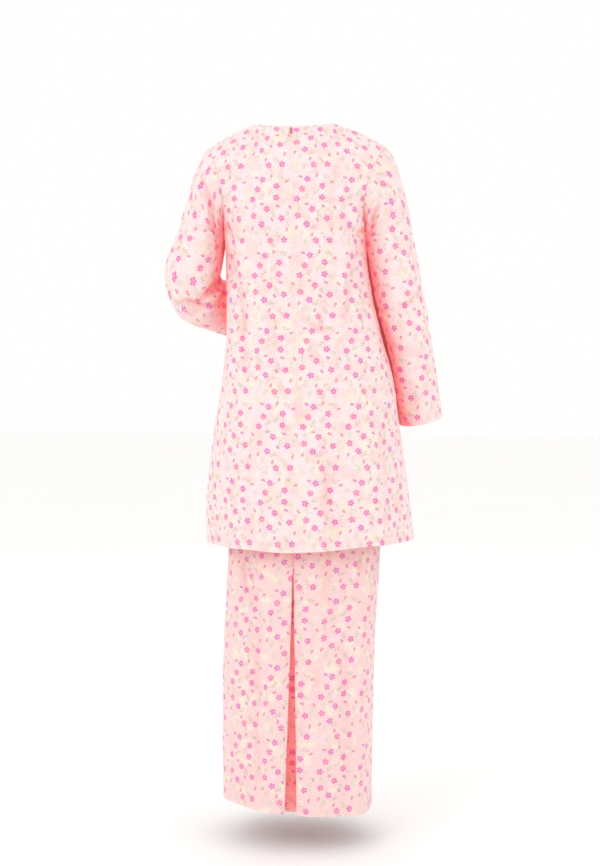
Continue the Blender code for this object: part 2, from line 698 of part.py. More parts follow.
def folded_back(grid, outward, widths):
    """The grid with a pressed edge after its last column, and the cloth turned in behind it."""
    columns = list(np.moveaxis(grid, 1, 0))
    across = unit(grid[:, -1] - grid[:, -2])
    pivot = grid[:, -1] - TURN_RADIUS * outward[:, -1]
    for angle in np.radians(TURN_ANGLES):
        way = math.sin(angle) * across + math.cos(angle) * outward[:, -1]
        columns.append(pivot + TURN_RADIUS * way)
    inset = np.full(len(grid), 2 * TURN_RADIUS)
    columns += [behind_panel(grid, outward, share * widths, inset) for share in RETURN_SHARES]
    return np.stack(columns, axis=1)


def back_panel(side, opened):
    """One back panel of the skirt with its turned-in edge, columns anticlockwise."""
    grid = back_half(side, opened)
    heights = grid[:, 0, 2]
    deep = ease((PLEAT_TOP_Z + RETURN_START - heights) / RETURN_START)
    widths = SEAM_ALLOWANCE + (RETURN_WIDTH - SEAM_ALLOWANCE) * deep
    grid = folded_back(grid, side * face_normals(grid, False), widths)
    grid[:, 0] = draw_in(grid[:, 0], grid[:, 1])
    return hem_raised(grid if side > 0 else grid[:, ::-1])


def underlay_grid():
    """The panel behind the pleat, held by the returns at its sides and hanging free between them."""
    rows = slice(0, SKIRT_ROWS // 2 + 1)
    left = back_half(1, PLEAT_OPEN_LEFT)[rows]
    right = back_half(-1, PLEAT_OPEN_RIGHT)[rows]
    spread = open_share(left[:, 0, 2])
    deepest = UNDERLAY_INSET_TOP + (UNDERLAY_INSET_HEM - UNDERLAY_INSET_TOP) * spread
    held = 2 * TURN_RADIUS + UNDERLAY_GAP
    columns = []
    for share in UNDERLAY_SHARES:
        inset = held + (deepest - held) * (1 - share**2)
        distance = np.full(len(left), abs(share) * RETURN_WIDTH)
        on_left = behind_panel(left, face_normals(left, False), distance, inset)
        on_right = behind_panel(right, -face_normals(right, False), distance, inset)
        columns.append(on_left if share < 0 else on_right if share > 0 else (on_left + on_right) / 2)
    return hem_raised(np.stack(columns, axis=1))


def skirt_front_grid():
    grid = np.array([skirt_level(180, 360, FRONT_COLUMNS + 1, z) for z in skirt_heights()])
    grid[:, 0] = draw_in(grid[:, 0], grid[:, 1])
    grid[:, -1] = draw_in(grid[:, -1], grid[:, -2])
    return hem_raised(grid)


def waistband_grid():
    levels = (WAIST_TOP_Z - BAND_HEIGHT, WAIST_TOP_Z - BAND_HEIGHT / 2, WAIST_TOP_Z)
    return np.array([skirt_level(0, 360, BAND_COLUMNS + 1, z)[:-1] for z in levels])


# ---------------------------------------------------------------- zip

def zip_tape_grid(back, outward, slit):
    """A flat strip behind the slit, parallel to the cloth on each side of it."""
    behind = back - (WALL + ZIP_TAPE_GAP) * outward
    step = np.linalg.norm(behind[:, slit.column] - behind[:, slit.column - 1], axis=1)
    share = (ZIP_TAPE_WIDTH / 2 / step)[:, None]
    left = behind[:, slit.column] + share * (behind[:, slit.column - 1] - behind[:, slit.column])
    right = behind[:, slit.column + 1] + share * (behind[:, slit.column + 2] - behind[:, slit.column + 1])
    middle = (behind[:, slit.column] + behind[:, slit.column + 1]) / 2
    tape = np.stack([left, middle, right], axis=1)[slit.row :]
    tape[-1] += (tape[-2] - tape[-1]) * ZIP_TAPE_SHORT / np.linalg.norm(tape[-2, 1] - tape[-1, 1])
    return tape


def zip_frame(back, slit):
    """Place and directions (across, up, out) on the cloth's face where the slider stands."""
    line = (back[:, slit.column] + back[:, slit.column + 1]) / 2
    up = unit(line[-1] - line[-2])
    left, right = back[-1, slit.column - 1], back[-1, slit.column + 2]
    out = unit(np.cross(unit(right - left), up))
    return line[-1] - SLIDER_BELOW_EDGE * up, np.cross(up, out), up, out


def rounded_loop(low, high, corner):
    """A rectangle with round corners as a closed loop of (u, v) points, anticlockwise."""
    centres = [(high[0] - corner, high[1] - corner), (low[0] + corner, high[1] - corner)]
    centres += [(low[0] + corner, low[1] + corner), (high[0] - corner, low[1] + corner)]
    loop = []
    for quarter, (u, v) in enumerate(centres):
        for step in range(CORNER_STEPS + 1):
            angle = math.radians(90 * quarter + 90 * step / CORNER_STEPS)
            loop.append((u + corner * math.cos(angle), v + corner * math.sin(angle)))
    return loop


def pierced_plate(name, place, directions, outer, hole, low, high, finish):
    """A plate with a hole, from matching loops of (u, v) points, between two depths."""
    u_way, v_way, normal = directions
    count = len(outer)
    points = []
    for depth in (low, high):
        for loop in (outer, hole):
            points += [tuple(place + u * u_way + v * v_way + depth * normal) for u, v in loop]
    faces = []
    for i in range(count):
        j = (i + 1) % count
        low_outer, low_hole, high_outer, high_hole = (k * count for k in range(4))
        faces.append((high_outer + i, high_outer + j, high_hole + j, high_hole + i))
        faces.append((low_outer + j, low_outer + i, low_hole + i, low_hole + j))
        faces.append((low_outer + i, low_outer + j, high_outer + j, high_outer + i))
        faces.append((low_hole + j, low_hole + i, high_hole + i, high_hole + j))
    return mesh_object(name, points, faces, finish)


def zip_pieces(back, outward, slit):
    """The tape behind the slit, the slider at its top and the pull tab that hangs from the slider."""
    tape = zip_tape_grid(back, outward, slit)
    wall_object("zip_tape", tape, face_normals(tape, False), POLYESTER_TAPE, wall=ZIP_TAPE_THICKNESS)
    place, across, up, out = zip_frame(back, slit)
    pierced_plate(
        "zip_slider",
        place,
        (up, out, across),
        rounded_loop((-SLIDER_LENGTH / 2, SEAM_GAP), (SLIDER_LENGTH / 2, SLIDER_RISE), SLIDER_CORNER),
        rounded_loop(
            (-SLIDER_LENGTH / 2 + SLIDER_BAR, SEAM_GAP + SLIDER_BAR),
            (SLIDER_LENGTH / 2 - SLIDER_BAR, SLIDER_RISE - SLIDER_BAR),
            SLIDER_CORNER / 2,
        ),
        -SLIDER_WIDTH / 2,
        SLIDER_WIDTH / 2,
        LACQUERED_METAL,
    )
    hinge = place + TAB_HINGE_UP * up + TAB_HINGE_OUT * out
    pierced_plate(
        "zip_pull_tab",
        hinge,
        (across, up, out),
        rounded_loop((-TAB_WIDTH / 2, -TAB_LENGTH), (TAB_WIDTH / 2, TAB_THICKNESS / 2), TAB_CORNER),
        rounded_loop(
            (-TAB_WINDOW_WIDTH / 2, -TAB_WINDOW_LENGTH),
            (TAB_WINDOW_WIDTH / 2, -TAB_THICKNESS / 2),
            TAB_WINDOW_CORNER,
        ),
        -TAB_THICKNESS / 2,
        TAB_THICKNESS / 2,
        LACQUERED_METAL,
    )


def tunic():
    """The two body panels, whose normals agree along the side and shoulder seams, and the zip."""
    back, slit = back_grid()
    front = front_grid()
    back_out, front_out = face_normals(back, False), face_normals(front, False)
    side = slice(0, LOWER_ROWS + 1)
    shoulder = HALF_COLUMNS - NECK_COLUMNS + 1
    share_edge(back_out[side, 0], front_out[side, -1])
    share_edge(back_out[side, -1], front_out[side, 0])
    share_edge(back_out[-1, :shoulder], front_out[-1, ::-1][:shoulder])
    share_edge(back_out[-1, ::-1][:shoulder], front_out[-1, :shoulder])
    wall_object("tunic_back", back, back_out, PRINTED_COTTON, slit=slit)
    wall_object("tunic_front", front, front_out, PRINTED_COTTON)
    zip_pieces(back, back_out, slit)
    return back_out, front_out


def sleeves(back_out, front_out):
    """The sleeves, whose normals agree with the tunic's over the upper half of the armhole."""
    for name, sleeve in (("sleeve_left", LEFT_SLEEVE), ("sleeve_right", RIGHT_SLEEVE)):
        grid = sleeve_grid(sleeve)
        outward = face_normals(grid, True)
        height = (grid[-1, :, 2] - UNDERARM_Z) / (SHOULDER_TIP[2] - UNDERARM_Z)
        shared = ease(height / SHARED_FROM)[:, None]
        back_column, front_column = (0, -1) if sleeve.side > 0 else (-1, 0)
        back_edge = back_out[LOWER_ROWS:, back_column]
        front_edge = front_out[LOWER_ROWS:, front_column]
        body = around_armhole(back_edge, front_edge, sleeve.side)
        outward[-1] = unit((1 - shared) * outward[-1] + shared * body)
        wall_object(name, grid, outward, PRINTED_COTTON, closed=True)


def skirt():
    """The panels, whose normals agree along the side seams, and the waistband above them."""
    front, underlay, band = skirt_front_grid(), underlay_grid(), waistband_grid()
    left, right = back_panel(1, PLEAT_OPEN_LEFT), back_panel(-1, PLEAT_OPEN_RIGHT)
    front_out, left_out, right_out = (face_normals(grid, False) for grid in (front, left, right))
    share_edge(front_out[:, -1], left_out[:, 0])
    share_edge(front_out[:, 0], right_out[:, -1])
    wall_object("skirt_front", front, front_out, PRINTED_COTTON)
    wall_object("skirt_back_left", left, left_out, PRINTED_COTTON)
    wall_object("skirt_back_right", right, right_out, PRINTED_COTTON)
    wall_object("pleat_underlay", underlay, face_normals(underlay, False), PRINTED_COTTON)
    wall_object("skirt_waistband", band, face_normals(band, True), PRINTED_COTTON, closed=True)


def main():
    clear_scene()
    back_out, front_out = tunic()
    sleeves(back_out, front_out)
    skirt()


main()
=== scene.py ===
"""Finishes a baju kurung for rendering: a tunic and a long skirt in printed cotton.

Metres, +Z up. The front faces -Y and the wearer's left side is +X. Every cloth piece is laid out as a
grid of points, creased along given lines, and closed into a thin shell with its print on it.
"""

import json
import math
from collections import namedtuple

import bpy
import numpy as np
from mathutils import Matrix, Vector, noise
from mathutils.bvhtree import BVHTree

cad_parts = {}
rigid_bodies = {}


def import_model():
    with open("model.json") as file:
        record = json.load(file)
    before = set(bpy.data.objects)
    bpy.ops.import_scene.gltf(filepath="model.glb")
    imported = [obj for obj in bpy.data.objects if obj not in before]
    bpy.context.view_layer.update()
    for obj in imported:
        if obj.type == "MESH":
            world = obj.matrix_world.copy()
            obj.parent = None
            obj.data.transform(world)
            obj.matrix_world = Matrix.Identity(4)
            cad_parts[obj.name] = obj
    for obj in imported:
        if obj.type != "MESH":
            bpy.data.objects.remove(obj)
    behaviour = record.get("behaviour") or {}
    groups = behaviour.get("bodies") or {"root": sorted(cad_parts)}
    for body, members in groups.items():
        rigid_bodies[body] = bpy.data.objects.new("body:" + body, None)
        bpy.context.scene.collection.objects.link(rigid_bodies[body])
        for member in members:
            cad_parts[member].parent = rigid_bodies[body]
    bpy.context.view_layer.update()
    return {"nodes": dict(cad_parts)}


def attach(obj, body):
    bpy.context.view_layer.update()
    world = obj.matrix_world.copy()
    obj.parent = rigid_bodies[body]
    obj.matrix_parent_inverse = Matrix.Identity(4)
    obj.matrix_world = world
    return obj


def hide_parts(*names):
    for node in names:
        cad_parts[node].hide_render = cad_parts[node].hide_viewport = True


bl_info = {
    "name": "Baju Kurung",
    "version": (1, 0, 0),
    "blender": (4, 5, 0),
    "location": "3D View > Sidebar > Baju Kurung",
    "description": "Tunic and skirt in printed cotton, with creases, stitching and a zip",
    "category": "Add Mesh",
}

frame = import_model()


def rows_of(kind, *rows):
    """A table that has a named tuple of the given kind for each row."""
    return [kind(*row) for row in rows]


# Cloth
WALL = 0.0014  # thickness of the CAD model's cloth, which the zip lies behind
SEAM_GAP = 0.0003  # space left between two sewn pieces

# Tunic, below the arms: one row for each level, from the hem upwards
Section = namedtuple("Section", "z sway half_width back_depth front_depth squareness")
TUNIC_SECTIONS = rows_of(
    Section,
    (-0.859, -0.0245, 0.2130, 0.166, 0.168, 2.15),
    (-0.790, -0.0200, 0.2080, 0.162, 0.165, 2.15),
    (-0.716, -0.0176, 0.2010, 0.158, 0.161, 2.15),
    (-0.627, -0.0166, 0.1900, 0.152, 0.155, 2.20),
    (-0.518, -0.0160, 0.1745, 0.139, 0.148, 2.25),
    (-0.443, -0.0097, 0.1620, 0.127, 0.143, 2.30),
    (-0.340, 0.0012, 0.1488, 0.113, 0.143, 2.30),
    (-0.280, 0.0076, 0.1458, 0.112, 0.144, 2.30),
    (-0.217, 0.0100, 0.1470, 0.115, 0.137, 2.30),
)
UNDERARM_Z = TUNIC_SECTIONS[-1].z
HEM_Z = TUNIC_SECTIONS[0].z

# Tunic, above the arms, as seen on the wearer's left half before the sway is added
Sway = namedtuple("Sway", "z sway")
SHOULDER_SWAY = rows_of(
    Sway,
    (UNDERARM_Z, 0.0100),
    (-0.120, 0.0080),
    (-0.050, 0.0060),
    (0.000, 0.0100),
)
NECK_HALF_WIDTH = 0.085
SHOULDER_TIP = (0.181, 0.000, -0.046)
SHOULDER_CREST = 0.004  # how far the shoulder seam rises above a straight line
Yoke = namedtuple("Yoke", "neck_depth neck_z centre armhole neck_power")
BACK_YOKE = Yoke(
    neck_depth=0.062,
    neck_z=-0.010,
    centre=[(0.1165, -0.165), (0.109, -0.105), (0.091, -0.050)],
    armhole=[
        (0.1440, 0.040, -0.196),
        (0.1450, 0.062, -0.152),
        (0.1570, 0.058, -0.100),
        (0.1730, 0.030, -0.062),
    ],
    neck_power=2.4,
)
FRONT_YOKE = Yoke(
    neck_depth=0.082,
    neck_z=-0.078,
    centre=[(0.136, -0.180), (0.127, -0.145), (0.109, -0.110)],
    armhole=[
        (0.1435, -0.040, -0.197),
        (0.1405, -0.068, -0.148),
        (0.1510, -0.066, -0.098),
        (0.1700, -0.034, -0.060),
    ],
    neck_power=2.4,
)

# Soft folds that run down the cloth: middle angle, spread and depth, and where they start and are full
Fold = namedtuple("Fold", "angle spread depth start_z full_z")
TUNIC_FOLDS = rows_of(
    Fold,
    (3, 13, 0.0060, -0.44, -0.80),
    (25, 9, -0.0040, -0.40, -0.84),
    (41, 9, 0.0060, -0.40, -0.84),
    (58, 9, -0.0050, -0.40, -0.84),
    (74, 9, 0.0030, -0.46, -0.84),
    (118, 12, -0.0030, -0.46, -0.84),
    (141, 10, 0.0060, -0.40, -0.84),
    (160, 9, -0.0050, -0.38, -0.84),
    (199, 10, 0.0070, -0.36, -0.84),
    (221, 10, -0.0080, -0.36, -0.84),
    (248, 12, 0.0060, -0.42, -0.84),
    (276, 11, -0.0050, -0.46, -0.84),
    (303, 12, 0.0080, -0.36, -0.84),
    (327, 10, -0.0070, -0.36, -0.84),
    (346, 8, 0.0050, -0.38, -0.84),
)

# The centre back line of the tunic runs straight down from the neck, leaning to the wearer's right
CENTRE_BACK_X = 0.0125
CENTRE_BACK_LEAN = 0.034

# The hem of the tunic hangs higher towards the wearer's right, and dips at the middle of the back
HEM_LIFT = 0.008
HEM_LIFT_START = -0.060
HEM_LIFT_WIDTH = 0.120
HEM_LIFT_TOP = -0.640  # the height at which the lift begins
HEM_DIP = 0.004
HEM_DIP_X = 0.010
HEM_DIP_WIDTH = 0.080
HEM_DIP_DEPTH = 0.05  # how far back the dip is full

# Sleeves
SleeveRing = namedtuple("SleeveRing", "along inner outer back front squareness")
Sleeve = namedtuple("Sleeve", "side root upper_way fore_way upper_length fore_length bend_radius rings")
RIGHT_SLEEVE = Sleeve(
    side=-1,
    root=(-0.1640, -0.016, -0.130),
    upper_way=(-0.165, -0.060, -0.984),
    fore_way=(-0.180, -0.190, -0.965),
    upper_length=0.225,
    fore_length=0.215,
    bend_radius=0.300,
    rings=rows_of(
        SleeveRing,
        (0.10, 0.050, 0.0500, 0.062, 0.060, 2.2),
        (0.17, 0.052, 0.0530, 0.061, 0.059, 2.1),
        (0.28, 0.052, 0.0540, 0.059, 0.057, 2.1),
        (0.38, 0.049, 0.0490, 0.056, 0.054, 2.1),
        (0.49, 0.047, 0.0460, 0.052, 0.052, 2.1),
    ),
)
LEFT_SLEEVE = Sleeve(
    side=1,
    root=(0.1760, 0.000, -0.130),
    upper_way=(0.270, 0.030, -0.960),
    fore_way=(-0.600, -0.760, -0.240),
    upper_length=0.165,
    fore_length=0.165,
    bend_radius=0.064,
    rings=rows_of(
        SleeveRing,
        (0.10, 0.050, 0.0490, 0.060, 0.058, 2.2),
        (0.17, 0.055, 0.0560, 0.058, 0.058, 2.1),
        (0.23, 0.055, 0.0560, 0.056, 0.057, 2.1),
        (0.30, 0.055, 0.0560, 0.054, 0.056, 2.1),
        (0.43, 0.047, 0.0500, 0.048, 0.050, 2.1),
    ),
)
SLEEVE_CLEARANCE = 0.004  # least space between a hanging sleeve and the body of the tunic
CLEARANCE_START = 0.050  # the height below the underarm over which that space opens
SHOULDER_FALL = (0.80, 0.0, -0.60)  # which way the sleeve leaves the armhole at the shoulder tip
UNDERARM_FALL = (0.85, 0.0, -0.53)  # and at the underarm
WRAP_DEPTH = {1: 0.010, -1: 0.030}  # how far each sleeve's front inner side lies round the body
WRAP_SPREAD = 0.05  # from the sleeve's middle to where that is full
WRAP_START = 0.10  # from the armhole to where it is full
LEFT_WRAP_END_Z = -0.44  # the bent forearm is free of it
LEFT_WRAP_FADE = 0.10
SleeveFold = namedtuple("SleeveFold", "side along around length width depth")
SLEEVE_FOLDS = rows_of(
    SleeveFold,
    (1, 0.205, 150, 0.012, 60, -0.0060),
    (1, 0.232, 200, 0.010, 70, 0.0050),
    (1, 0.255, 170, 0.012, 60, -0.0070),
    (-1, 0.230, 20, 0.016, 60, -0.0030),
    (-1, 0.300, 330, 0.014, 50, -0.0030),
)

# Skirt: one row for each level, from the hem upwards. turn is how far the stance turns the section.
SkirtSection = namedtuple("SkirtSection", "z sway half_width back_depth front_depth squareness turn")
SKIRT_SECTIONS = rows_of(
    SkirtSection,
    (-1.399, 0.0030, 0.1555, 0.140, 0.136, 2.20, 7),
    (-1.230, 0.0030, 0.1560, 0.138, 0.134, 2.20, 6),
    (-1.060, 0.0000, 0.1570, 0.137, 0.131, 2.20, 4),
    (-0.900, -0.0105, 0.1560, 0.136, 0.126, 2.20, 2),
    (-0.760, -0.0140, 0.1590, 0.136, 0.121, 2.20, 0),
    (-0.620, -0.0150, 0.1600, 0.134, 0.118, 2.20, 0),
    (-0.520, -0.0140, 0.1450, 0.118, 0.114, 2.15, 0),
    (-0.435, -0.0095, 0.1200, 0.091, 0.100, 2.10, 0),
    (-0.400, -0.0060, 0.1170, 0.087, 0.097, 2.10, 0),
)
WAIST_TOP_Z = SKIRT_SECTIONS[-1].z
BAND_HEIGHT = 0.035
SKIRT_HEM_RISE = 0.009  # the hem rises this much to the wearer's left, and falls as much to the right
SKIRT_FOLDS = rows_of(
    Fold,
    (22, 15, 0.0030, -0.66, -1.05),
    (52, 14, -0.0060, -0.62, -0.95),
    (74, 11, 0.0040, -0.66, -1.00),
    (122, 14, -0.0045, -0.70, -1.05),
    (150, 16, 0.0040, -0.62, -1.00),
    (208, 16, -0.0060, -0.62, -1.00),
    (240, 15, 0.0070, -0.62, -1.00),
    (272, 14, -0.0050, -0.66, -1.05),
    (303, 15, 0.0060, -0.66, -1.05),
    (335, 14, -0.0050, -0.62, -1.00),
)

# Inverted pleat at the centre back of the skirt
PLEAT_TOP_Z = -0.898
PLEAT_OPEN_LEFT = 0.0170  # how far the left fold has swung from the centre back at the hem
PLEAT_OPEN_RIGHT = 0.0065
CENTRE_BACK_SKIRT_X = 0.0020  # where the centre back seam of the skirt lies
SEAM_ALLOWANCE = 0.012  # width turned in above the pleat
RETURN_WIDTH = 0.055  # width of cloth folded back inside the pleat
RETURN_START = 0.030  # the height over which the return reaches its full width
TURN_RADIUS = 0.0019  # of the cloth's face round a pressed edge
SEAM_TURN_RADIUS = 0.0008  # of its face round the sewn edge above the pleat
UNDERLAY_GAP = 0.0008  # between the returns and the underlay sewn to them
UNDERLAY_INSET_TOP = 0.0060
UNDERLAY_INSET_HEM = 0.0240
UNDERLAY_PRINT_SHIFT = 0.062  # which part of the print lies at its middle

# Zip in the centre back seam of the tunic
ZIP_BOTTOM_Z = -0.610
ZIP_TAPE_WIDTH = 0.020
ZIP_TAPE_THICKNESS = 0.0010
ZIP_TAPE_GAP = 0.0011  # between the cloth and the tape behind it
ZIP_TAPE_SHORT = 0.003  # how far the tape ends below the neckline
ZIP_STITCHING = 0.0052  # from the slit to the stitching beside it
ZIP_STITCH_END = -3  # that stitching stops this many rows from the neckline
COIL_PITCH = 0.0014
COIL_STEPS = 8  # points in one loop
COIL_WIDTH = 0.0040
COIL_HEIGHT = 0.0014
COIL_WIRE = 0.0006
COIL_INSET = 0.004  # from each end of the tape

FINE_STEPS = 30  # points for each given one, where a curve is measured
FINE_ANGLES = 400


def smooth_through(keys, values, at):
    """Values on a smooth curve through the given ones, at each place in at."""
    keys, values, at = (np.asarray(item, float) for item in (keys, values, at))
    slopes = np.gradient(values, keys, axis=0)
    start = np.clip(np.searchsorted(keys, at) - 1, 0, len(keys) - 2)
    span = keys[start + 1] - keys[start]
    share = (at - keys[start]) / span
    if values.ndim > 1:
        span, share = span[..., None], share[..., None]
    rise = values[start + 1] - values[start]
    bend = (1 - share) * (slopes[start] * span - rise) + share * (rise - slopes[start + 1] * span)
    return values[start] + share * rise + share * (1 - share) * bend


def column(table, name, z):
    """One named column of a table of levels, at height z."""
    return smooth_through([row.z for row in table], [getattr(row, name) for row in table], z)


def ease(share):
    """From 0 to 1 with level ends."""
    share = np.clip(share, 0, 1)
    return share * share * (3 - 2 * share)


def unit(vector):
    """The same direction with a length of 1."""
    return np.asarray(vector, float) / np.linalg.norm(vector, axis=-1, keepdims=True)


def reach_along(points):
    """How far along their line each point is from the first."""
    return np.concatenate([[0], np.cumsum(np.linalg.norm(np.diff(points, axis=0), axis=1))])


def at_reach(wanted, reach, values):
    """Rows of values at wanted distances along the line that reach measures."""
    return np.stack([np.interp(wanted, reach, line) for line in values.T], axis=1)


def even_steps(points, count):
    """count points at even distances along a smooth curve through points."""
    points = np.asarray(points, float)
    reach = reach_along(points)
    fine = smooth_through(reach, points, np.linspace(0, reach[-1], FINE_STEPS * len(points)))
    fine_reach = reach_along(fine)
    return at_reach(np.linspace(0, fine_reach[-1], count), fine_reach, fine)


def fold_depth(folds, angle, z):
    """How far the folds push the cloth out at an angle round the body, in degrees from the left side."""
    depth = np.zeros(np.broadcast(angle, z).shape)
    for fold in folds:
        away = (angle - fold.angle + 180) % 360 - 180
        depth += fold.depth * np.exp(-((away / fold.spread) ** 2)) * ease(
            (z - fold.start_z) / (fold.full_z - fold.start_z)
        )
    return depth


def ring_point(table, folds, angle, z):
    """A point of a closed body section. Angle 0 is the wearer's left, 90 the centre back."""
    turn = np.radians(angle)
    power = 2 / column(table, "squareness", z)
    across, along = np.cos(turn), np.sin(turn)
    depth = np.where(along >= 0, column(table, "back_depth", z), column(table, "front_depth", z))
    out = fold_depth(folds, angle, z)
    x = column(table, "half_width", z) * np.sign(across) * np.abs(across) ** power + out * across
    y = depth * np.sign(along) * np.abs(along) ** power + out * along
    return x, y


def even_angles(table, start, end, count, z):
    """Angles from start to end, in degrees, that are evenly spaced along the section at height z."""
    fine = np.linspace(start, end, FINE_ANGLES)
    x, y = ring_point(table, [], fine, z)
    reach = np.concatenate([[0], np.cumsum(np.hypot(np.diff(x), np.diff(y)))])
    return np.interp(np.linspace(0, reach[-1], count), reach, fine)


def face_normals(grid, closed):
    """Unit normals of a grid of points, rows going up and columns anticlockwise seen from above."""
    if closed:
        across = np.roll(grid, -1, axis=1) - np.roll(grid, 1, axis=1)
    else:
        across = np.gradient(grid, axis=1)
    return unit(np.cross(across, np.gradient(grid, axis=0)))


def share_edge(first, second):
    """Gives two rows or columns of normals that meet at a seam the same directions, in place."""
    first[...] = second[...] = unit(first + second)


# ---------------- tunic

HALF_COLUMNS = 72  # from the centre to the side of one half panel
NECK_COLUMNS = 36  # of those, the ones along the neckline
LOWER_ROWS = 130  # from the hem to the underarm
YOKE_ROWS = 60  # from the underarm to the shoulder
Slit = namedtuple("Slit", "column row")  # the column before the cut, and its lowest row


def shoulder_line(yoke, facing):
    """From the centre of the neckline to the shoulder tip, on the left half."""
    turn = np.linspace(0, math.pi / 2, NECK_COLUMNS + 1)
    neck = np.stack(
        [
            NECK_HALF_WIDTH * np.sin(turn),
            facing * yoke.neck_depth * np.cos(turn),
            yoke.neck_z * np.cos(turn) ** 2,
        ],
        axis=1,
    )
    share = np.linspace(0, 1, HALF_COLUMNS - NECK_COLUMNS + 1)[1:, None]
    tip = np.array(SHOULDER_TIP)
    crest = SHOULDER_CREST * np.sin(share * math.pi) * [0, 0, 1]
    return np.concatenate([neck, neck[-1] + share * (tip - neck[-1]) + crest])


def armhole_edge(yoke):
    """From the underarm to the shoulder tip, on the left half."""
    underarm = (TUNIC_SECTIONS[-1].half_width, 0.0, UNDERARM_Z)
    return even_steps([underarm, *yoke.armhole, SHOULDER_TIP], YOKE_ROWS + 1)


def centre_edge(yoke, facing, depth):
    """From the underarm level to the neckline, on the centre line."""
    points = [(0, facing * depth, UNDERARM_Z)]
    points += [(0, facing * y, z) for y, z in yoke.centre]
    return even_steps([*points, (0, facing * yoke.neck_depth, yoke.neck_z)], YOKE_ROWS + 1)


def tunic_level(facing, z):
    """The section of the left half at height z, from the centre to the side."""
    angles = even_angles(TUNIC_SECTIONS, 90 * facing, 0, HALF_COLUMNS + 1, z)
    x, y = ring_point(TUNIC_SECTIONS, [], angles, z)
    return np.stack([x, y, np.full_like(x, z)], axis=1)


def yoke_grid(yoke, facing):
    """Upper half panel: each row is the chord from centre to armhole, bulged as the section below it is.

    The bulge shrinks with the chord's own depth, and the top rows take the shape of the neckline.
    """
    bottom = tunic_level(facing, UNDERARM_Z)
    top = shoulder_line(yoke, facing)
    even = np.linspace(0, 1, HALF_COLUMNS + 1)[:, None]
    reach = reach_along(top)
    uneven = (reach / reach[-1])[:, None]
    low_bulge = bottom - (bottom[0] + even * (bottom[-1] - bottom[0]))
    top_bulge = top - (top[0] + uneven * (top[-1] - top[0]))
    side, centre = armhole_edge(yoke), centre_edge(yoke, facing, abs(bottom[0, 1]))
    rows = []
    for row in range(YOKE_ROWS + 1):
        up = row / YOKE_ROWS
        share = even + (uneven - even) * ease(up)
        chord = centre[row] + share * (side[row] - centre[row])
        depth = (centre[row, 1] - side[row, 1]) / (bottom[0, 1] - bottom[-1, 1])
        body = low_bulge * [1 - ease(up), depth, 0]
        rows.append(chord + (1 - up**yoke.neck_power) * body + up**yoke.neck_power * top_bulge)
    return np.array(rows)


def tunic_half(yoke, facing, side):
    """One half of a tunic panel, columns from the centre to the side; side is 1 on the wearer's left."""
    levels = np.linspace(HEM_Z, UNDERARM_Z, LOWER_ROWS + 1)[:-1]
    lower = np.array([tunic_level(facing, z) for z in levels])
    grid = np.concatenate([lower, yoke_grid(yoke, facing)])
    grid[..., 0] *= side
    angle = np.arctan2(grid[..., 1], grid[..., 0])
    out = fold_depth(TUNIC_FOLDS, np.degrees(angle), grid[..., 2])
    grid[..., :2] += out[..., None] * np.stack([np.cos(angle), np.sin(angle)], axis=-1)
    grid[..., 0] += tunic_sway(grid[..., 2])
    grid[..., 2] += hem_lift(grid)
    if facing > 0:
        lean = CENTRE_BACK_X + CENTRE_BACK_LEAN * grid[:, :1, 2] - tunic_sway(grid[:, :1, 2])
        grid[..., 0] += lean * np.linspace(1, 0, HALF_COLUMNS + 1)
    return grid


def hem_lift(grid):
    """How much higher the hem hangs towards the wearer's right, and lower at the middle of the back."""
    x, y, z = np.moveaxis(grid, -1, 0)
    right = HEM_LIFT * ease((HEM_LIFT_START - x) / HEM_LIFT_WIDTH)
    middle = HEM_DIP * np.exp(-(((x - HEM_DIP_X) / HEM_DIP_WIDTH) ** 2))
    middle = middle * np.clip(y / HEM_DIP_DEPTH, 0, 1)
    return (right - middle) * ease((HEM_LIFT_TOP - z) / (HEM_LIFT_TOP - HEM_Z))


def tunic_sway(z):
    """How far the section at height z has swayed towards the wearer's left."""
    low = column(TUNIC_SECTIONS, "sway", np.minimum(z, UNDERARM_Z))
    high = column(SHOULDER_SWAY, "sway", np.maximum(z, UNDERARM_Z))
    return np.where(z > UNDERARM_Z, high, low)


def draw_in(edge, inner):
    """An edge of a grid moved by half a seam gap towards the points next to it."""
    step = inner - edge
    return edge + unit(step) * SEAM_GAP / 2


def panel_of(grid):
    """The grid with its sides, and its shoulder seams beyond the neckline, drawn in for the seam gaps."""
    grid = grid.copy()
    grid[:, 0] = draw_in(grid[:, 0], grid[:, 1])
    grid[:, -1] = draw_in(grid[:, -1], grid[:, -2])
    shoulder = HALF_COLUMNS - NECK_COLUMNS + 1
    for part in (slice(0, shoulder), slice(-shoulder, None)):
        grid[-1, part] = draw_in(grid[-1, part], grid[-2, part])
    return grid


def back_grid():
    """The back panel from the wearer's left to right, with its centre column twice, and its slit."""
    left, right = (tunic_half(BACK_YOKE, 1, side) for side in (1, -1))
    slit = Slit(HALF_COLUMNS, int(np.argmin(np.abs(left[:, 0, 2] - ZIP_BOTTOM_Z))))
    open_rows = slice(slit.row + 1, None)
    for half in (left, right):
        half[open_rows, 0] = draw_in(half[open_rows, 0], half[open_rows, 1])
    return panel_of(np.concatenate([left[:, ::-1], right], axis=1)), slit


def front_grid():
    """The front panel from the wearer's right to left."""
    left, right = (tunic_half(FRONT_YOKE, -1, side) for side in (1, -1))
    return panel_of(np.concatenate([right[:, ::-1], left[:, 1:]], axis=1))


# ---------------- sleeves

HEAD_LEAVE = 0.6  # how strongly the head of the sleeve keeps its first direction
SHARED_FROM = 0.5  # the height in the armhole above which the two walls meet edge to edge
HEAD_ROWS = 24  # rows of cloth between the armhole and the first free ring
SLEEVE_ROWS = 90  # rings from there to the cuff
AXIS_STEPS = 1200  # points at which the middle line of a sleeve is known


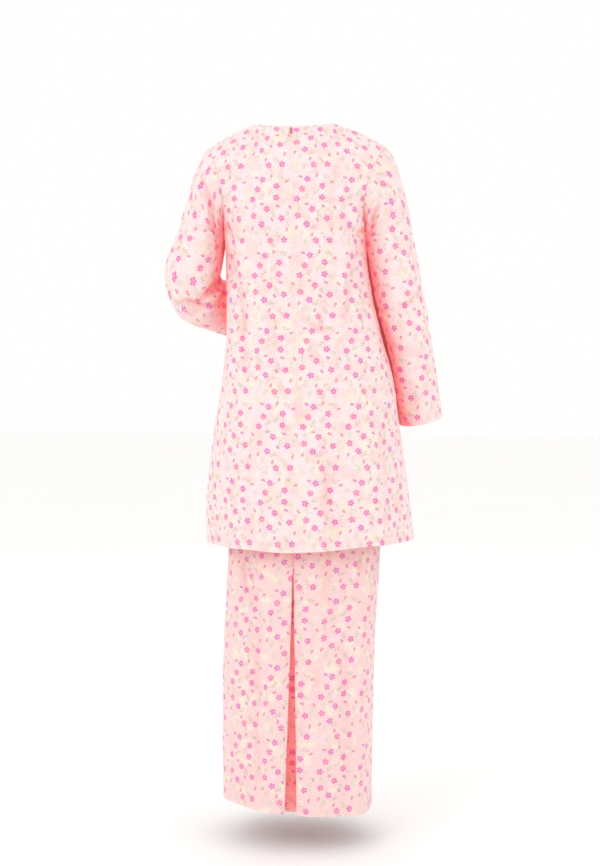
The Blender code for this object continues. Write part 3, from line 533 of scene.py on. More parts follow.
def arm_axis(sleeve, along):
    """Place and direction of the sleeve's middle line at a distance from its root."""
    upper, fore = unit(sleeve.upper_way), unit(sleeve.fore_way)
    bend = math.acos(upper @ fore)
    toward = unit(fore - (fore @ upper) * upper)
    turned = min(max((along - sleeve.upper_length) / sleeve.bend_radius, 0), bend)
    beyond = max(along - sleeve.upper_length - bend * sleeve.bend_radius, 0)
    place = np.array(sleeve.root) + min(along, sleeve.upper_length) * upper + beyond * fore
    place += sleeve.bend_radius * ((1 - math.cos(turned)) * toward + math.sin(turned) * upper)
    return place, math.cos(turned) * upper + math.sin(turned) * toward


def arm_frames(sleeve):
    """Distance, place, direction and backward side at even steps along the sleeve, free of twist."""
    backward = np.array([0.0, 1.0, 0.0])
    frames = []
    for along in np.linspace(0, sleeve.rings[-1].along, AXIS_STEPS):
        place, way = arm_axis(sleeve, along)
        backward = unit(backward - (backward @ way) * way)
        frames.append((along, place, way, backward))
    return frames


def sleeve_fold_depth(sleeve, along, around):
    """How far the folds push the sleeve out. around is 0 on the outer side and 90 at the back."""
    depth = np.zeros_like(around)
    for fold in SLEEVE_FOLDS:
        if fold.side == sleeve.side:
            away = (around - fold.around + 180) % 360 - 180
            depth += fold.depth * np.exp(
                -((away / fold.width) ** 2) - ((along - fold.along) / fold.length) ** 2
            )
    return depth


def free_ring(sleeve, along, frames):
    """One ring of points, which starts on the wearer's left and goes round by the back."""
    reach = [ring.along for ring in sleeve.rings]
    sizes = {
        name: smooth_through(reach, [getattr(ring, name) for ring in sleeve.rings], along)
        for name in ("inner", "outer", "back", "front", "squareness")
    }
    _, place, way, backward = min(frames, key=lambda frame: abs(frame[0] - along))
    left = np.cross(backward, -way)
    turn = np.linspace(0, 2 * math.pi, 2 * YOKE_ROWS, endpoint=False)
    across, deep = np.cos(turn), np.sin(turn)
    power = 2 / sizes["squareness"]
    around = np.degrees(np.arctan2(deep, across * sleeve.side)) % 360
    out = sleeve_fold_depth(sleeve, along, around)
    wide = np.where(across * sleeve.side >= 0, sizes["outer"], sizes["inner"]) + out
    thick = np.where(deep >= 0, sizes["back"], sizes["front"]) + out
    x = wide * np.sign(across) * np.abs(across) ** power
    y = thick * np.sign(deep) * np.abs(deep) ** power
    return place + x[:, None] * left + y[:, None] * backward


def around_armhole(back, front, side):
    """Joins values that run up the back and the front of the armhole into one loop.

    The loop starts on the wearer's left and goes round by the back, as a ring of the sleeve does.
    """
    if side > 0:
        return np.concatenate([back[::-1], front[1:-1]])
    return np.concatenate([back, front[::-1][1:-1]])


def armhole_loop(side):
    """The edge that the sleeve is set into."""
    loop = around_armhole(armhole_edge(BACK_YOKE), armhole_edge(FRONT_YOKE), side)
    loop[:, 0] = side * (loop[:, 0] + SEAM_GAP) + tunic_sway(loop[:, 2])
    return loop


def clear_of_tunic(points):
    """The points, pushed out where they come too near the body of the tunic."""
    x, y, z = points[..., 0] - tunic_sway(points[..., 2]), points[..., 1], points[..., 2]
    half_width, back_depth, front_depth, power = (
        column(TUNIC_SECTIONS, name, np.minimum(z, UNDERARM_Z))
        for name in ("half_width", "back_depth", "front_depth", "squareness")
    )
    depth = np.where(y >= 0, back_depth, front_depth)
    inside = (np.abs(x / half_width) ** power + np.abs(y / depth) ** power) ** (1 / power)
    reach = np.hypot(x, y)
    space = SEAM_GAP + (SLEEVE_CLEARANCE - SEAM_GAP) * ease((UNDERARM_Z - z) / CLEARANCE_START)
    wanted = reach / inside + fold_depth(TUNIC_FOLDS, np.degrees(np.arctan2(y, x)), z) + space
    grown = np.where((z < UNDERARM_Z) & (reach < wanted), wanted / reach, 1)
    pushed = points.copy()
    pushed[..., 0] += x * (grown - 1)
    pushed[..., 1] += y * (grown - 1)
    return pushed


def sleeve_head(sleeve, loop, ring, ring_way):
    """Rows from the armhole down to the first free ring, leaving each along the cloth's own fall."""
    height = (loop[:, 2] - UNDERARM_Z) / (SHOULDER_TIP[2] - UNDERARM_Z)
    mirror = np.array([sleeve.side, 1, 1])
    high, low = np.array(SHOULDER_FALL), np.array(UNDERARM_FALL)
    fall = height[:, None] * high + (1 - height[:, None]) * low
    span = np.linalg.norm(ring - loop, axis=1, keepdims=True)
    leave, arrive = HEAD_LEAVE * span * unit(fall * mirror), span * ring_way
    rows = []
    for t in np.linspace(0, 1, HEAD_ROWS + 1)[:-1]:
        rows.append(
            (2 * t**3 - 3 * t**2 + 1) * loop
            + (t**3 - 2 * t**2 + t) * leave
            + (3 * t**2 - 2 * t**3) * ring
            + (t**3 - t**2) * arrive
        )
    return np.array(rows)


def sleeve_grid(sleeve):
    """The whole sleeve, rows from the cuff up to the armhole."""
    frames = arm_frames(sleeve)
    first, last = sleeve.rings[0].along, sleeve.rings[-1].along
    reach = np.linspace(first, last, SLEEVE_ROWS)
    rings = np.array([free_ring(sleeve, along, frames) for along in reach])
    head = sleeve_head(sleeve, armhole_loop(sleeve.side), rings[0], arm_axis(sleeve, first)[1])
    return clear_of_tunic(np.concatenate([head, rings]))[::-1]


def wrapped_sleeve(points, sleeve):
    """The sleeve with its front inner side lying close round the front of the body."""
    away = points - points.mean(axis=1, keepdims=True)
    inner = np.clip(-sleeve.side * away[..., 0] / WRAP_SPREAD, 0, 1)
    front = np.clip(-away[..., 1] / WRAP_SPREAD, 0, 1)
    share = inner * front * ease(top_distance(points) / WRAP_START)
    if sleeve.side > 0:
        share *= ease((points[..., 2] - LEFT_WRAP_END_Z) / LEFT_WRAP_FADE)
    wrapped = points.copy()
    wrapped[..., 0] -= sleeve.side * WRAP_DEPTH[sleeve.side] * share
    return clear_of_tunic(wrapped)


# ---------------- skirt

SKIRT_ROWS = 160
BACK_COLUMNS = 60  # from the side seam to the centre back
FRONT_COLUMNS = 120
RETURN_SHARES = np.linspace(0, 1, 10)  # across the cloth folded back in the pleat
TURN_ANGLES = (30, 60, 90, 120, 150)  # round a pressed edge
UNDERLAY_SHARES = np.linspace(-1, 1, 25)  # across the underlay
BAND_COLUMNS = 240
BAND_ROWS = 17
SKIRT_SEED = 41


def skirt_level(start, end, count, z):
    """Points of the skirt's section at height z, between two angles."""
    angles = even_angles(SKIRT_SECTIONS, start, end, count, z)
    x, y = ring_point(SKIRT_SECTIONS, SKIRT_FOLDS, angles, z)
    turn = np.radians(column(SKIRT_SECTIONS, "turn", z))
    return np.stack(
        [
            x * np.cos(turn) + y * np.sin(turn) + column(SKIRT_SECTIONS, "sway", z),
            y * np.cos(turn) - x * np.sin(turn),
            np.full_like(x, z),
        ],
        axis=1,
    )


def hem_raised(grid):
    """The grid with its hem lifted on the wearer's left and lowered on the right."""
    hem = SKIRT_SECTIONS[0]
    grid = grid.copy()
    low = ease((grid[..., 2] - PLEAT_TOP_Z) / (hem.z - PLEAT_TOP_Z))
    grid[..., 2] += SKIRT_HEM_RISE * low * grid[..., 0] / hem.half_width
    return grid


def skirt_heights():
    """Levels from the hem to the waistband, with one at the top of the pleat."""
    top = WAIST_TOP_Z - BAND_HEIGHT - SEAM_GAP
    low = np.linspace(SKIRT_SECTIONS[0].z, PLEAT_TOP_Z, SKIRT_ROWS // 2 + 1)
    return np.concatenate([low, np.linspace(PLEAT_TOP_Z, top, SKIRT_ROWS // 2 + 1)[1:]])


def open_share(heights):
    """0 at the top of the pleat and above it, 1 at the hem."""
    return np.clip((PLEAT_TOP_Z - heights) / (PLEAT_TOP_Z - SKIRT_SECTIONS[0].z), 0, 1)


def turn_radii(heights):
    """How round the edge beside the centre back is at each level: tight where the seam is sewn."""
    sewn = ease((heights - PLEAT_TOP_Z + RETURN_START) / RETURN_START)
    return TURN_RADIUS + (SEAM_TURN_RADIUS - TURN_RADIUS) * sewn


def back_half(side, opened):
    """Half of the skirt's back from the side seam to the fold beside the centre back seam."""
    heights = skirt_heights()
    side_angle = 0 if side > 0 else 180
    grid = np.array([skirt_level(side_angle, 90, BACK_COLUMNS + 1, z) for z in heights])
    away = SEAM_GAP / 2 + turn_radii(heights) + opened * open_share(heights)
    fold_x = CENTRE_BACK_SKIRT_X + side * away
    grid[..., 0] += (fold_x - grid[:, -1, 0])[:, None] * np.linspace(0, 1, BACK_COLUMNS + 1)
    return grid


def creased_half(side, opened, strength):
    """The same half with its creases, which the cloth turned in behind it and the underlay follow."""
    grid = back_half(side, opened)
    return creased(grid, side * face_normals(grid, False), SKIRT_CREASES, strength, SKIRT_SEED)


def behind_panel(grid, outward, distance, inset):
    """Points under a panel, for each row at a distance back from its last column, and set inwards."""
    behind = (grid - inset[:, None, None] * outward)[:, ::-1]
    rows = zip(distance, lengths_along(grid[:, ::-1], 1), behind)
    return np.array([[np.interp(far, reach, line) for line in row.T] for far, reach, row in rows])


def folded_back(grid, outward, widths):
    """The grid with a pressed edge after its last column, and the cloth turned in behind it."""
    columns = list(np.moveaxis(grid, 1, 0))
    across = unit(grid[:, -1] - grid[:, -2])
    radii = turn_radii(skirt_heights())[:, None]
    pivot = grid[:, -1] - radii * outward[:, -1]
    for angle in np.radians(TURN_ANGLES):
        way = math.sin(angle) * across + math.cos(angle) * outward[:, -1]
        columns.append(pivot + radii * way)
    inset = 2 * radii[:, 0]
    columns += [behind_panel(grid, outward, share * widths, inset) for share in RETURN_SHARES]
    return np.stack(columns, axis=1)


def back_panel(side, opened, strength):
    """One back panel of the skirt with its turned-in edge, columns anticlockwise."""
    grid = creased_half(side, opened, strength)
    heights = grid[:, 0, 2]
    deep = ease((PLEAT_TOP_Z + RETURN_START - heights) / RETURN_START)
    widths = SEAM_ALLOWANCE + (RETURN_WIDTH - SEAM_ALLOWANCE) * deep
    grid = folded_back(grid, side * face_normals(grid, False), widths)
    grid[:, 0] = draw_in(grid[:, 0], grid[:, 1])
    return hem_raised(grid if side > 0 else grid[:, ::-1])


def underlay_grid(strength):
    """The panel behind the pleat, held by the returns at its sides and hanging free between them."""
    rows = slice(0, SKIRT_ROWS // 2 + 1)
    left = creased_half(1, PLEAT_OPEN_LEFT, strength)[rows]
    right = creased_half(-1, PLEAT_OPEN_RIGHT, strength)[rows]
    spread = open_share(left[:, 0, 2])
    deepest = UNDERLAY_INSET_TOP + (UNDERLAY_INSET_HEM - UNDERLAY_INSET_TOP) * spread
    held = 2 * TURN_RADIUS + UNDERLAY_GAP
    columns = []
    for share in UNDERLAY_SHARES:
        inset = held + (deepest - held) * (1 - share**2)
        distance = np.full(len(left), abs(share) * RETURN_WIDTH)
        on_left = behind_panel(left, face_normals(left, False), distance, inset)
        on_right = behind_panel(right, -face_normals(right, False), distance, inset)
        columns.append(on_left if share < 0 else on_right if share > 0 else (on_left + on_right) / 2)
    return hem_raised(np.stack(columns, axis=1))


def skirt_front_grid(strength):
    """The skirt's front from side seam to side seam."""
    grid = np.array([skirt_level(180, 360, FRONT_COLUMNS + 1, z) for z in skirt_heights()])
    grid = creased(grid, face_normals(grid, False), SKIRT_CREASES, strength, SKIRT_SEED)
    grid[:, 0] = draw_in(grid[:, 0], grid[:, 1])
    grid[:, -1] = draw_in(grid[:, -1], grid[:, -2])
    return hem_raised(grid)


def waistband_grid():
    """The waistband before it is gathered."""
    levels = np.linspace(WAIST_TOP_Z - BAND_HEIGHT, WAIST_TOP_Z, BAND_ROWS)
    return np.array([skirt_level(0, 360, BAND_COLUMNS + 1, z)[:-1] for z in levels])


# ---------------- zip

def zip_tape_grid(back, outward, slit):
    """A flat strip behind the slit, parallel to the cloth on each side of it."""
    behind = back - (WALL + ZIP_TAPE_GAP) * outward
    before, first, last, after = (behind[:, slit.column + step] for step in (-1, 0, 1, 2))
    share = (ZIP_TAPE_WIDTH / 2 / np.linalg.norm(first - before, axis=1))[:, None]
    left, right = first + share * (before - first), last + share * (after - last)
    tape = np.stack([left, (first + last) / 2, right], axis=1)[slit.row :]
    tape[-1] += (tape[-2] - tape[-1]) * ZIP_TAPE_SHORT / np.linalg.norm(tape[-2, 1] - tape[-1, 1])
    return tape


def coil_rings(line, normals):
    """Rings of four points along the loops of the coil, on the wrong side of the tape."""
    reach = reach_along(line)
    steps = np.arange(COIL_INSET, reach[-1] - COIL_INSET, COIL_PITCH / COIL_STEPS)
    place, out = at_reach(steps, reach, line), unit(at_reach(steps, reach, normals))
    way = unit(np.gradient(place, axis=0))
    across = np.cross(way, out)
    angle = 2 * math.pi * np.arange(len(steps))[:, None] / COIL_STEPS
    middle = place - (ZIP_TAPE_THICKNESS + COIL_HEIGHT / 2 + COIL_WIRE / 2) * out
    middle = middle + COIL_WIDTH / 2 * np.cos(angle) * across
    middle = middle + COIL_HEIGHT / 2 * np.sin(angle) * out
    along = unit(np.gradient(middle, axis=0))
    first = unit(np.cross(along, way))
    second = np.cross(along, first)
    rings = [
        middle + COIL_WIRE / 2 * (math.cos(turn) * first + math.sin(turn) * second)
        for turn in RING_TURNS
    ]
    return np.stack(rings, axis=1)


# ---------------- creases

# A crease pushed into the cloth: its side, the points (x, z) that it passes, its half width and its depth.
# A negative depth raises a ridge. side is 1 on the back of a piece and -1 on its front.
Crease = namedtuple("Crease", "side path width depth")


def creases_of(*rows):
    """Creases, from rows in millimetres."""
    return [
        Crease(side, [(x / 1000, z / 1000) for x, z in path], width / 1000, depth / 1000)
        for side, path, width, depth in rows
    ]


TUNIC_CREASES = creases_of(
    (1, [(143, -260), (118, -344), (108, -441), (102, -546)], 11.9, 5.7),
    (1, [(128, -237), (87, -321), (67, -421)], 15.3, -4.2),
    (1, [(-125, -241), (-109, -330), (-99, -411)], 11, 5.3),
    (1, [(-114, -285), (-86, -361), (-72, -421), (-64, -521)], 14.5, -4.6),
    (1, [(113, -61), (95, -140), (88, -224)], 13.6, 3),
    (1, [(-95, -63), (-75, -146), (-69, -233)], 11.9, 3.4),
    (1, [(66, -449), (36, -433), (8, -443)], 5.9, 2.5),
    (1, [(-19, -397), (-55, -419), (-87, -413)], 6.8, 2.7),
    (1, [(78, -505), (50, -493), (28, -503)], 5.1, 2.1),
    (1, [(-150, -200), (-136, -214), (-118, -233)], 5.1, 4.9),
    (1, [(150, -206), (136, -226), (127, -256)], 5.1, 4.2),
    (1, [(-7, -556), (-10, -580), (-12, -606)], 3.4, -4.2),
    (1, [(118, -621), (127, -722), (135, -868)], 17, 4.9),
    (1, [(64, -632), (70, -740), (76, -865)], 18.7, -4.6),
    (1, [(-170, -560), (-182, -722), (-194, -868)], 11.9, 5.7),
    (1, [(-115, -640), (-127, -740), (-135, -868)], 20.4, -5.7),
    (1, [(-57, -619), (-65, -738), (-73, -868)], 17, 4.6),
    (-1, [(140, -250), (112, -322), (96, -420), (90, -500)], 12.7, 5.7),
    (-1, [(-132, -238), (-108, -300), (-92, -390)], 10.2, 4.9),
    (-1, [(-118, -262), (-80, -340), (-60, -470)], 15.3, -4.2),
    (-1, [(110, -120), (92, -170), (86, -232)], 11, 3.4),
    (-1, [(-108, -110), (-88, -160), (-80, -215)], 11.9, 3),
    (-1, [(62, -405), (30, -418), (-12, -409)], 6.8, 2.7),
    (-1, [(-36, -452), (-66, -463), (-98, -455)], 5.9, 2.3),
    (-1, [(104, -600), (118, -740), (124, -868)], 17, 5.3),
    (-1, [(44, -640), (50, -760), (46, -868)], 20.4, -4.9),
    (-1, [(-20, -660), (-26, -770), (-24, -868)], 15.3, 4.2),
    (-1, [(-104, -580), (-122, -720), (-138, -868)], 18.7, -5.3),
    (-1, [(148, -205), (132, -222), (118, -250)], 5.1, 4.6),
    (-1, [(-140, -196), (-124, -216), (-108, -226)], 5.1, 4.2),
)
LEFT_SLEEVE_CREASES = creases_of(
    (1, [(200, -108), (188, -137), (176, -165), (168, -197), (164, -238)], 7, 7.5),
    (1, [(214, -124), (203, -156), (196, -190), (192, -225)], 9, -3.9),
    (1, [(192, -212), (176, -216), (160, -219)], 5, 4.8),
    (1, [(156, -300), (170, -322), (190, -349), (206, -362)], 7, 11),
    (1, [(176, -290), (190, -310), (212, -330)], 9, -3.9),
    (1, [(262, -372), (229, -363), (198, -373), (168, -361)], 6.5, 11),
    (1, [(256, -384), (225, -390), (196, -385)], 5, 5.2),
    (1, [(236, -186), (240, -236), (250, -286)], 14, 2.7),
    (1, [(268, -330), (252, -343), (236, -340)], 6, 2.7),
    (-1, [(246, -300), (222, -318), (196, -310)], 6, 5.4),
    (-1, [(240, -330), (212, -346), (186, -338)], 6, 4.8),
    (-1, [(204, -120), (190, -150), (180, -190)], 8, 5.1),
    (-1, [(232, -200), (236, -240), (232, -276)], 12, 2.7),
    (-1, [(172, -372), (150, -380), (126, -376)], 7, 3),
    (-1, [(200, -362), (180, -352), (164, -334)], 6, 3.9),
)
RIGHT_SLEEVE_CREASES = creases_of(
    (1, [(-172, -160), (-156, -186), (-146, -220)], 5.4, 6.1),
    (1, [(-186, -130), (-174, -176), (-166, -222)], 9, -4),
    (1, [(-148, -374), (-163, -380), (-181, -389)], 4.5, 4),
    (1, [(-160, -402), (-178, -446), (-189, -506)], 8.1, 4.3),
    (1, [(-206, -240), (-214, -330), (-226, -420)], 14.4, 2.9),
    (1, [(-232, -356), (-216, -370), (-202, -368)], 5.4, 2.9),
    (1, [(-226, -520), (-232, -560), (-240, -602)], 12.6, 3.2),
    (-1, [(-176, -140), (-160, -170), (-152, -205)], 6.3, 5.8),
    (-1, [(-160, -330), (-182, -344), (-206, -338)], 5.4, 5),
    (-1, [(-168, -362), (-190, -372), (-208, -370)], 4.5, 4),
    (-1, [(-210, -220), (-212, -290), (-222, -350)], 12.6, 3.2),
    (-1, [(-200, -420), (-212, -500), (-226, -570)], 11.7, -3.6),
)
SKIRT_CREASES = creases_of(
    (1, [(73, -930), (77, -1126), (84, -1400)], 18, 5.1),
    (1, [(54, -960), (52, -1100), (50, -1400)], 16.2, -4.4),
    (1, [(106, -886), (108, -926), (101, -963)], 9, 3.7),
    (1, [(-130, -864), (-128, -890), (-124, -921)], 5.4, 3.7),
    (1, [(-67, -800), (-63, -962), (-65, -1043)], 16.2, 4.4),
    (1, [(-32, -985), (-28, -1072), (-30, -1163)], 12.6, -2.7),
    (1, [(-101, -1044), (-107, -1166), (-105, -1400)], 16.2, 4.1),
    (-1, [(84, -700), (90, -900), (96, -1140)], 18, 4.4),
    (-1, [(24, -760), (18, -960), (22, -1180)], 19.8, -4.4),
    (-1, [(-46, -780), (-52, -1020), (-48, -1400)], 16.2, 4.4),
    (-1, [(-100, -860), (-108, -1060), (-104, -1300)], 14.4, -3.7),
    (-1, [(60, -1060), (66, -1220), (60, -1400)], 14.4, 4.1),
)

CREASE_STEPS = 40  # points along the middle line of a crease
RIDGE_PLACE = 1.9  # the soft ridge beside a valley, in half widths of the valley
RIDGE_WIDTH = 1.4
RIDGE_SHARE = 0.45
CREASE_REACH = 5  # a crease is felt this many half widths away
CREASE_FACING = 2.5  # how fast a crease fades where the cloth turns to the other side
CREASE_ROUND = 0.25  # what is left of it at the side of the body
RELAX_TIMES = 40  # that the cloth over the shoulders is smoothed
RELAX_MARGIN = 6  # rows below the underarm that are smoothed with it
TUNIC_SEED = 3
LEFT_SLEEVE_SEED = 21
RIGHT_SLEEVE_SEED = 31
ARMHOLE_KEEP = 0.03  # the cloth keeps its smooth form this near to an armhole
Swell = namedtuple("Swell", "size depth")
SWELLS = [Swell(0.080, 0.0022), Swell(0.041, 0.0014), Swell(0.020, 0.0006)]  # the cloth's uneven rise
SWELL_STRETCH = (1.0, 1.0, 0.6)  # the cloth hangs, so its unevenness is longer than wide
SEAM_DIP = 0.0004  # how deep the cloth rolls in beside a seam
SEAM_DIP_WIDTH = 0.0022
PUCKER_DEPTH = 0.00045
PUCKER_LENGTH = 0.011  # along the seam
PUCKER_REACH = 0.010  # away from the seam

# A sheet of cloth: points and outward normals as grids, its flat places (u, v), how the ring closes
Surface = namedtuple("Surface", "points outward flat closed slit")


def crease_depth(crease, points):
    """How far one crease pushes points inwards, from their distance to its line seen along Y."""
    line = even_steps([(x, 0.0, z) for x, z in crease.path], CREASE_STEPS)[:, [0, 2]]
    reach = CREASE_REACH * crease.width
    low, high = line.min(axis=0) - reach, line.max(axis=0) + reach
    place = points[..., [0, 2]]
    near = ((place > low) & (place < high)).all(axis=-1)
    depth = np.zeros(points.shape[:-1])
    if not near.any():
        return depth
    away = place[near][:, None] - line[None]
    closest = np.argmin((away**2).sum(axis=-1), axis=1)
    way = unit(np.gradient(line, axis=0))[closest]
    gap = away[np.arange(len(closest)), closest]
    side = way[:, 0] * gap[:, 1] - way[:, 1] * gap[:, 0]
    past = np.abs((gap * way).sum(axis=1))
    share = closest / (CREASE_STEPS - 1)
    taper = np.sin(math.pi * (0.06 + 0.88 * share)) ** 0.8 * np.exp(-((past / crease.width) ** 2))
    valley = np.exp(-((side / crease.width) ** 2))
    ridge = np.exp(-(((side - RIDGE_PLACE * crease.width) / (RIDGE_WIDTH * crease.width)) ** 2))
    depth[near] = crease.depth * taper * (valley - RIDGE_SHARE * ridge)
    return depth


def uneven(places, size, seed):
    """Smooth random values, about -1 to 1, at places."""
    flat = places.reshape(-1, places.shape[-1])
    far = np.zeros((len(flat), 3))
    far[:, : flat.shape[1]] = flat / size
    far[:, 2] += seed
    return np.array([noise.noise(Vector(place)) for place in far]).reshape(places.shape[:-1])


def creased(points, outward, creases, strength, seed):
    """The grid with its creases and the cloth's soft unevenness."""
    push = np.zeros(points.shape[:-1])
    for crease in creases:
        faces = np.clip(outward[..., 1] * crease.side * CREASE_FACING + CREASE_ROUND, 0, 1)
        push += crease_depth(crease, points) * faces
    for place, swell in enumerate(SWELLS):
        push -= swell.depth * uneven(points * SWELL_STRETCH, swell.size, seed + 7 * place)
    return points - (strength * push)[..., None] * outward


def relaxed(points, rows, times):
    """The grid with its inner points drawn towards the middle of their neighbours, over some rows."""
    points = points.copy()
    part = points[rows]
    for _ in range(times):
        around = part[:-2, 1:-1] + part[2:, 1:-1] + part[1:-1, :-2] + part[1:-1, 2:]
        part[1:-1, 1:-1] = 0.5 * part[1:-1, 1:-1] + 0.125 * around
    return points


def lengths_along(points, axis):
    """Distances between neighbours summed along one axis of a grid, from 0."""
    steps = np.linalg.norm(np.diff(points, axis=axis), axis=2)
    start = np.zeros((len(points), 1)) if axis else np.zeros((1, points.shape[1]))
    return np.concatenate([start, np.cumsum(steps, axis=axis)], axis=axis)


def flat_panel(points, middle):
    """Flat places of a panel: across from its middle column, and up from the hem of that column."""
    level = points * [1, 1, 0]
    across = lengths_along(level, 1)
    up = lengths_along(points[:, middle : middle + 1], 0)
    rise = points[..., 2] - points[:, middle : middle + 1, 2]
    return np.stack([across - across[:, middle : middle + 1], up + rise], axis=-1)


def flat_tube(points):
    """Flat places of a closed piece: round it from its first column, and along it."""
    ring = np.concatenate([points, points[:, :1]], axis=1)
    across = lengths_along(ring, 1)
    up = lengths_along(points, 0).mean(axis=1, keepdims=True)
    return np.stack([across, np.broadcast_to(up, across.shape)], axis=-1)


def seam_roll(points, outward, distance, seed):
    """The grid with the cloth rolled in and slightly puckered where distance from a seam is small."""
    dip = SEAM_DIP * np.exp(-((distance / SEAM_DIP_WIDTH) ** 2))
    pucker = PUCKER_DEPTH * np.exp(-distance / PUCKER_REACH) * uneven(points, PUCKER_LENGTH, seed)
    return points - (dip + pucker)[..., None] * outward


def side_distance(points):
    """Distance of each point of a panel from its nearer side edge, along its row."""
    reach = lengths_along(points, 1)
    return np.minimum(reach, reach[:, -1:] - reach)


def top_distance(points):
    """Distance of each point from the top edge, along its column."""
    reach = lengths_along(points, 0)
    return reach[-1:] - reach


# ---------------- shells

def shell_faces(surface):
    """Vertex and flat-place numbers of the faces of a closed shell, and where its wrong side starts."""
    rows, columns = surface.points.shape[:2]
    count = rows * columns
    index = np.arange(count).reshape(rows, columns)
    if surface.closed:
        index = np.concatenate([index, index[:, :1]], axis=1)
    if surface.slit:
        slit = surface.slit
        index[: slit.row + 1, slit.column + 1] = index[: slit.row + 1, slit.column]
    marks = np.arange(index.size).reshape(index.shape)
    corners = [
        np.stack([grid[:-1, :-1], grid[:-1, 1:], grid[1:, 1:], grid[1:, :-1]], axis=-1)
        for grid in (index, marks)
    ]
    if surface.slit:
        corners = [np.delete(grid, surface.slit.column, axis=1) for grid in corners]
    faces, flats = (grid.reshape(-1, 4) for grid in corners)
    ends, flat_ends = np.roll(faces, -1, axis=1), np.roll(flats, -1, axis=1)
    rim = ~np.isin(faces * count + ends, ends * count + faces)
    a, b, flat_a, flat_b = faces[rim], ends[rim], flats[rim], flat_ends[rim]
    sides = np.stack([b, a, a + count, b + count], axis=1)
    side_flats = np.stack([flat_b, flat_a, flat_a, flat_b], axis=1)
    everything = np.concatenate([faces, sides, faces[:, ::-1] + count])
    return everything, np.concatenate([flats, side_flats, flats[:, ::-1]]), len(faces) + len(sides)


def mesh_from(name, points, faces):
    """A mesh object from an array of points and an array of faces with the same number of corners."""
    used, renumbered = np.unique(faces, return_inverse=True)
    faces = renumbered.reshape(faces.shape)
    mesh = bpy.data.meshes.new(name)
    mesh.vertices.add(len(used))
    mesh.vertices.foreach_set("co", points[used].astype(np.float32).ravel())
    mesh.loops.add(faces.size)
    mesh.loops.foreach_set("vertex_index", faces.astype(np.int32).ravel())
    mesh.polygons.add(len(faces))
    mesh.polygons.foreach_set("loop_start", np.arange(0, faces.size, faces.shape[1], dtype=np.int32))
    mesh.update(calc_edges=True)
    made = bpy.data.objects.new(name, mesh)
    bpy.context.scene.collection.objects.link(made)
    return made


def add_shell(name, surface, right_side, wrong_side, wall):
    """A closed thin shell of cloth with the right side's finish outside and the wrong side's inside."""
    outer = surface.points.reshape(-1, 3)
    inner = (surface.points - wall * surface.outward).reshape(-1, 3)
    faces, flats, wrong_start = shell_faces(surface)
    made = mesh_from(name, np.concatenate([outer, inner]), faces)
    mesh = made.data
    mesh.materials.append(right_side)
    mesh.materials.append(wrong_side)
    finish = np.zeros(len(faces), np.int32)
    finish[wrong_start:] = 1
    mesh.polygons.foreach_set("material_index", finish)
    layer = mesh.uv_layers.new(name="flat")
    layer.data.foreach_set("uv", surface.flat.reshape(-1, 2)[flats].astype(np.float32).ravel())
    mesh.shade_smooth()
    mesh.set_sharp_from_angle(angle=math.radians(50))
    return made


def row_line(surface, height, from_top=False, columns=slice(None)):
    """Points and normals of a line round a surface, at a height above its bottom or below its top edge."""
    up = lengths_along(surface.points, 0)
    count = np.arange(len(up))
    if from_top:
        up, count = (up[-1:] - up)[::-1], count[::-1]
    rows = np.array([np.interp(height, reach, count) for reach in up.T])
    low = np.clip(rows.astype(int), 0, len(up) - 2)
    share = (rows - low)[:, None]
    around = np.arange(up.shape[1])
    lines = []
    for grid in (surface.points, surface.outward):
        line = (1 - share) * grid[low, around] + share * grid[low + 1, around]
        lines.append(np.concatenate([line, line[:1]]) if surface.closed else line[columns])
    return lines[0], unit(lines[1])


def beside_column(surface, column, step, distance, rows=slice(None)):
    """A line at a distance from one column, on the side that step points to."""
    lines = []
    for grid in (surface.points, surface.outward):
        start, beside = grid[rows, column], grid[rows, column + step]
        gap = np.linalg.norm(surface.points[rows, column + step] - surface.points[rows, column], axis=1)
        lines.append(start + (beside - start) * (distance / gap)[:, None])
    return lines[0], unit(lines[1])


# ---------------- stitching

STITCH_RINGS = ((-0.5, 0.0), (-0.38, 0.8), (0.0, 1.0), (0.38, 0.8), (0.5, 0.0))  # along, thickness
STITCH_TIP = 0.25  # least thickness
STITCH_ROUND = 0.7  # from the middle of a thread to its corners
STITCH_RISE = 0.25  # how far a thread stands out of the cloth
STITCH_SINK = 0.2  # and how far its ends go in
RING_TURNS = [math.radians(turn) for turn in (45, 135, 225, 315)]  # the corners of a ring


def tube_faces(rings):
    """Faces of a closed tube of rings of four points."""
    index = np.arange(4 * rings).reshape(-1, 4)
    after = np.roll(index, -1, axis=1)
    walls = np.stack([index[:-1], after[:-1], after[1:], index[1:]], axis=-1).reshape(-1, 4)
    return np.concatenate([walls, index[:1, ::-1], index[-1:]])


